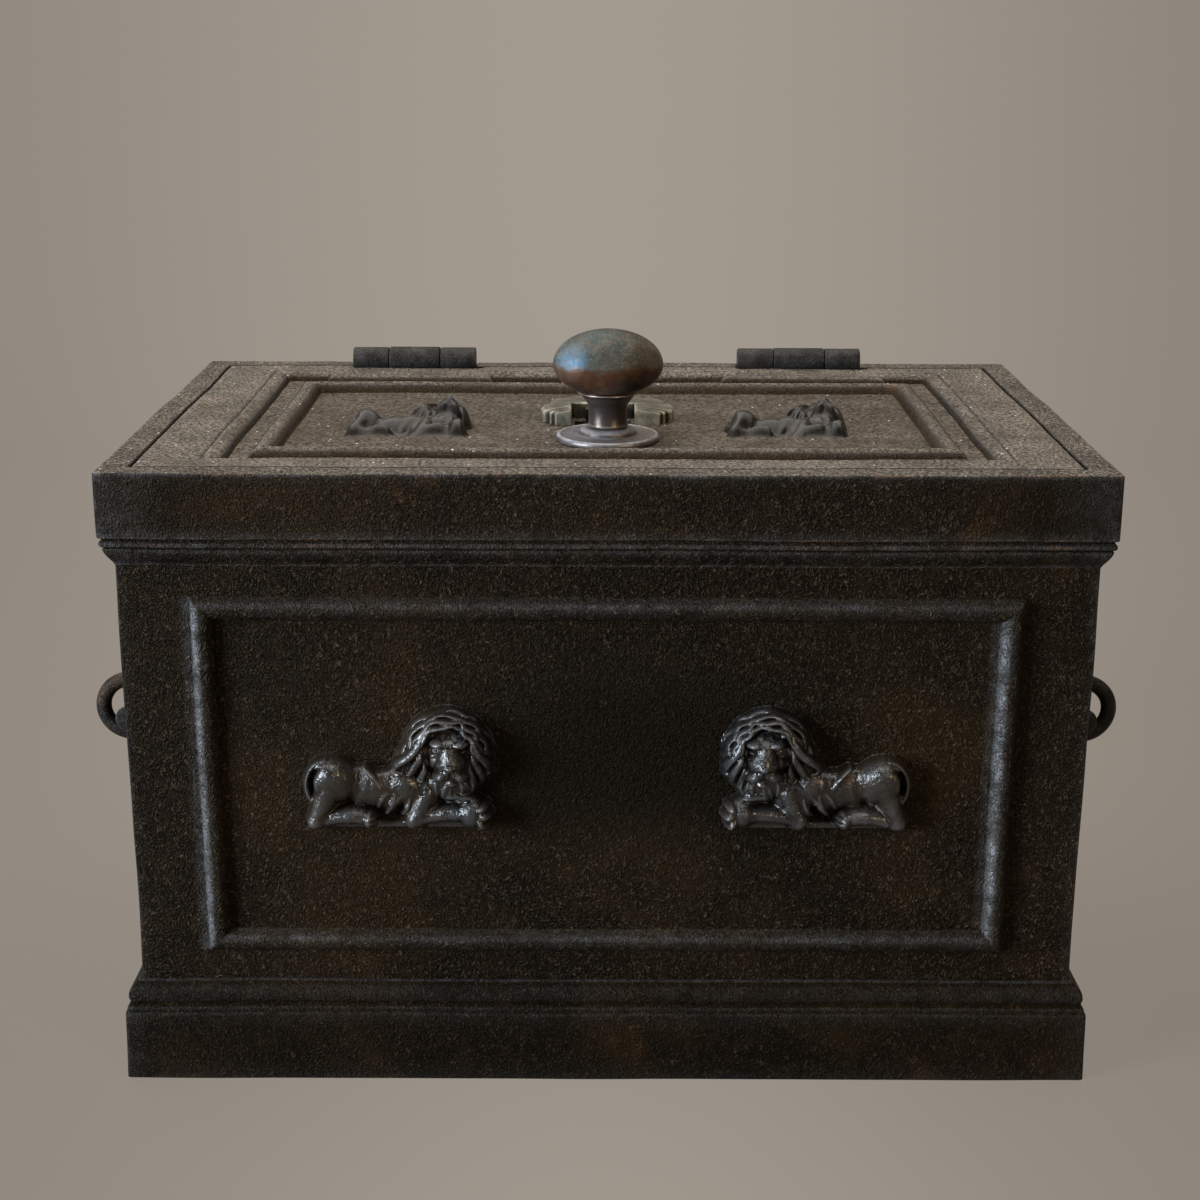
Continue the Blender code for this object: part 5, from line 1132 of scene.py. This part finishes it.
# hinges: eased barrels on their leaves
inner = hinge["half"] - hinge["end"]
ease, third, leafEnds, leafTop = hinge["ease"], 0.3 * hinge["ease"], hinge["half"], hinge["leafHigh"]
for side, s in (("left", -1), ("right", 1)):
    x = s * hinge["x"]
    for kind, body, spans, near, r in (
        ("lid", "lid", [(chest["gap"] - inner, inner - chest["gap"])], chest["lidY"] - hinge["leaf"],
         hinge["radius"] + chest["gap"]),
        ("rim", "chest", [(-leafEnds, -inner), (inner, leafEnds)], chest["mouthY"], hinge["radius"]),
    ):
        far = near + hinge["leaf"]
        slab = [(near, hinge["leafLow"]), (far, hinge["leafLow"]), (far, leafTop), (near, leafTop)]
        shells = [bar(eased(slab, hinge["leafEase"]), x - leafEnds, x + leafEnds, hinge["leafEnd"])]
        neckLow, neckHigh = leafTop - hinge["neckInto"], hinge["neckHigh"]
        neck = [(near, neckLow), (far, neckLow), (far, neckHigh), (near, neckHigh)]
        neck = eased(neck, hinge["neckEase"])
        for low, high in spans:
            section = [(hinge["bore"], low), (r - ease, low), (r - third, low + third), (r, low + ease),
                       (r, high - ease), (r - third, high - third), (r - ease, high), (hinge["bore"], high)]
            barrel = turned(section, hinge["sides"], True)
            shells.append(placed(barrel, (x, hinge["y"], hinge["z"]), (1, 0, 0)))
            shells.append(bar(neck, x + low, x + high, hinge["neckEase"]))
        makePiece(f"hinge_{kind}_{side}", shells, "barrelIron", body, [f"hinge_{kind}_leaf_{side}"],
                  "black_iron", sharp=hinge["sharp"])

# handles: ring eyes on turned flanges, bails hung through them
handle = {
    "height": 0.170, "eyeX": 0.2638, "spread": 0.0500, "ring": 0.0155, "bar": 0.0042, "flange": 0.0115,
    "flangeThick": 0.0035, "shank": 0.0036, "thread": 0.2293, "shaftEnd": 0.2490, "bailZ": 0.1643,
    "bail": 0.0055, "arm": 0.0435, "bend": 0.0100, "drop": 0.0230, "bow": 0.0060, "end": 0.0585,
    "head": 0.0080, "swell": 0.10, "swellReach": 0.024, "headSteps": (0.0, 0.4, 1.2, 2.0, 2.3),
    "headShares": (0.0, 0.8, 1.0, 0.97), "ringSides": 64, "barSides": 24, "shaftSides": 40,
    "shaftEase": 0.0004, "sharp": 45,
}
ringAngle = np.linspace(0, 2 * math.pi, handle["ringSides"], endpoint=False)[:, None]
barAngle = np.linspace(0, 2 * math.pi, handle["barSides"], endpoint=False)[None]
ringOut = handle["ring"] + handle["bar"] * np.cos(barAngle)
ringRings = np.stack([ringOut * np.cos(ringAngle), handle["bar"] * np.sin(barAngle) + 0 * ringAngle,
                      ringOut * np.sin(ringAngle)], -1)
foot, rise = chest["bodyX"] + chest["gap"], handle["flangeThick"]
flange, shank = handle["flange"], handle["shank"]
shaft = [(0.0, handle["thread"]), (shank, handle["thread"]), (shank, foot), (flange - 0.0003, foot),
         (flange, foot + 0.0005), (flange, foot + 0.5 * rise), (0.92 * flange, foot + 0.85 * rise),
         (0.78 * flange, foot + rise), (0.50 * flange, foot + rise), (0.40 * flange, foot + 1.15 * rise),
         (shank, foot + 1.6 * rise), (shank, handle["shaftEnd"]), (0.0, handle["shaftEnd"])]
# half of a bail, (y, z) from its head: straight through the eye, a bend down, a bend back, a shallow bow
bend = handle["bend"]
curve, drop = np.radians(np.linspace(90, 0, 9)), np.radians(np.linspace(180, 262, 11))
share = np.linspace(0, 1, 14)[1:]
head = [(step / 1000 - handle["end"], 0) for step in handle["headSteps"]] + [(-handle["spread"], 0)]
down = np.column_stack([bend * np.cos(curve) - handle["arm"], bend * np.sin(curve) - bend])
back = np.column_stack([2 * bend - handle["arm"] + bend * np.cos(drop),
                        bend - handle["drop"] + bend * np.sin(drop)])
bow = np.column_stack([back[-1, 0] * (1 - share), back[-1, 1] - handle["bow"] * np.sin(share * math.pi / 2)])
half = np.concatenate([head, down, back, bow])
bailPath = np.concatenate([half, half[-2::-1] * (-1, 1)])
middle = np.clip(bailPath[:, 0] / handle["swellReach"], -1, 1)
grip = handle["bail"] * (1 + handle["swell"] * np.cos(middle * math.pi / 2) ** 2)
headRadii = [share * handle["head"] for share in handle["headShares"]] + [handle["bail"]]
grip[:5], grip[-5:] = headRadii, headRadii[::-1]
stud = turned(eased(shaft, handle["shaftEase"], False, 3), handle["shaftSides"])
for side, s in (("left", -1), ("right", 1)):
    for end, t in (("front", -1), ("back", 1)):
        y = t * handle["spread"]
        shells = [placed(ringShell(ringRings, True), (s * handle["eyeX"], y, handle["height"])),
                  placed(stud, (0, y, handle["height"]), (s, 0, 0))]
        makePiece(f"eye_{side}_{end}", shells, "barrelIron", "chest", [f"handle_eye_{side}_{end}"],
                  "black_iron")
    across = np.full(len(bailPath), s * handle["eyeX"])
    path = np.column_stack([across, bailPath[:, 0], handle["bailZ"] + bailPath[:, 1]])
    bail = tube(path, grip, handle["barSides"], (1, 0, 0))
    makePiece(f"bail_{side}", [bail], "barrelIron", f"{side}_handle", [f"handle_bail_{side}"],
              "black_iron", sharp=handle["sharp"])
print("hinges and handles made")

# the CAD's own meshes stay for what the lid hides, in the same finishes
slotFinishes = {"black_iron": "castIron", "inner_iron": "innerIron", "steel": "filedSteel",
                "bronze": "knobBronze", "brass": "oldBrass"}
kept = [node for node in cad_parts.values() if not node.hide_render]
for node in kept:
    for slot in node.material_slots:
        for title, finish in slotFinishes.items():
            if slot.material and slot.material.name.startswith(title):
                slot.material = finishes[finish]
                break
print("CAD nodes kept:", len(kept))

# stage: a pale floor that sweeps up behind, with painted shade that makes it a little darker to the sides
stage = {
    "colour": (0.215, 0.192, 0.165), "seen": (0.352, 0.311, 0.267), "even": 0.80, "aside": 0.70,
    "asideTo": 0.34, "eye": 1.30, "near": 0.6, "rough": 0.9, "gloss": 0.1,
    "front": -4.0, "back": 1.3, "sweep": 1.2, "top": 4.0, "half": 5.0,
}
a = np.linspace(0, math.pi / 2, 24)
rising = np.column_stack([stage["back"] + stage["sweep"] * np.sin(a), stage["sweep"] * (1 - np.cos(a))])
line = np.concatenate([[(stage["front"], 0.0)], rising, [(stage["back"] + stage["sweep"], stage["top"])]])
sheet = np.array([np.column_stack([np.full(len(line), x), line]) for x in (-stage["half"], stage["half"])])
mesh = bpy.data.meshes.new("floor")
mesh.from_pydata(sheet.reshape(-1, 3), [], gridFaces(2, len(line)))
mesh.shade_smooth()
paint = bpy.data.materials.new("floorPaint")
paint.use_nodes = True
tree = paint.node_tree
matt = tree.nodes["Principled BSDF"]
matt.inputs["Base Color"].default_value = opaque(stage["colour"])
matt.inputs["Roughness"].default_value = stage["rough"]
matt.inputs["Specular IOR Level"].default_value = stage["gloss"]
axes = put(tree, "SeparateXYZ", {0: put(tree, "TexCoord").outputs["Object"]}).outputs
# the glow seen by camera and glossy rays fades to the sides: painted shade
away = calc(tree, "MAXIMUM", plus(tree, axes["Y"], stage["eye"]), stage["near"])
aside = calc(tree, "DIVIDE", calc(tree, "ABSOLUTE", axes["X"]), away)
strength = ramp(tree, aside, 0.0, stage["asideTo"], 1.0, stage["aside"])
even = put(tree, "Emission", {"Color": opaque(stage["seen"]), "Strength": strength})
rays = put(tree, "LightPath").outputs
seen = calc(tree, "MAXIMUM", rays["Is Glossy Ray"], rays["Is Transmission Ray"])
seen = calc(tree, "MAXIMUM", rays["Is Camera Ray"], seen)
mixed = {0: times(tree, seen, stage["even"]), 1: matt.outputs[0], 2: even.outputs[0]}
feed(tree, tree.nodes["Material Output"].inputs, {"Surface": put(tree, "MixShader", mixed).outputs[0]})
mesh.materials.append(paint)
floor = bpy.data.objects.new("floor", mesh)
bpy.context.scene.collection.objects.link(floor)

# a cool window to the left, a broad light above, a weak warm one from the right;
# each has place, target, size, power, colour
lamps = {
    "window": ((-2.80, -1.60, 0.82), (0.0, 0.0, 0.25), (1.2, 1.6), 230.0, (0.80, 0.90, 1.0)),
    "ceiling": ((-0.3, 0.60, 2.7), (0.0, 0.50, 0.1), (3.6, 3.6), 170.0, (1.0, 0.96, 0.91)),
    "warmFill": ((1.90, -2.35, 1.20), (0.0, 0.0, 0.25), (0.8, 0.8), 26.0, (1.0, 0.74, 0.48)),
}
room = {"colour": (1.0, 0.96, 0.90), "strength": 0.05}
for name, (at, target, wide, power, colour) in lamps.items():
    light = bpy.data.lights.new(name, "AREA")
    light.shape, light.size, light.size_y, light.energy, light.color = "RECTANGLE", *wide, power, colour
    lamp = bpy.data.objects.new(name, light)
    lamp.location = at
    lamp.rotation_euler = (Vector(target) - Vector(at)).to_track_quat("-Z", "Y").to_euler()
    bpy.context.scene.collection.objects.link(lamp)
world = bpy.data.worlds.new("room")
world.use_nodes = True
world.node_tree.nodes["Background"].inputs["Color"].default_value = opaque(room["colour"])
world.node_tree.nodes["Background"].inputs["Strength"].default_value = room["strength"]
bpy.context.scene.world = world

# camera as solved from the straight edges in the photo
view = {"at": (-0.0049, -1.0872, 0.5462), "down": 16.85, "roll": 0.218, "yaw": -0.061, "lens": 59.41,
        "sensor": 36.0}
lens = bpy.data.cameras.new("camera")
lens.lens, lens.sensor_width = view["lens"], view["sensor"]
camera = bpy.data.objects.new("camera", lens)
camera.matrix_world = Matrix.Translation(view["at"])
for turn, axis in ((view["yaw"], "Z"), (90 - view["down"], "X"), (view["roll"], "Z")):
    camera.matrix_world = camera.matrix_world @ Matrix.Rotation(math.radians(turn), 4, axis)
bpy.context.scene.collection.objects.link(camera)
bpy.context.scene.camera = camera
bpy.context.scene.view_settings.view_transform = "Standard"
print("stage, light and camera set")
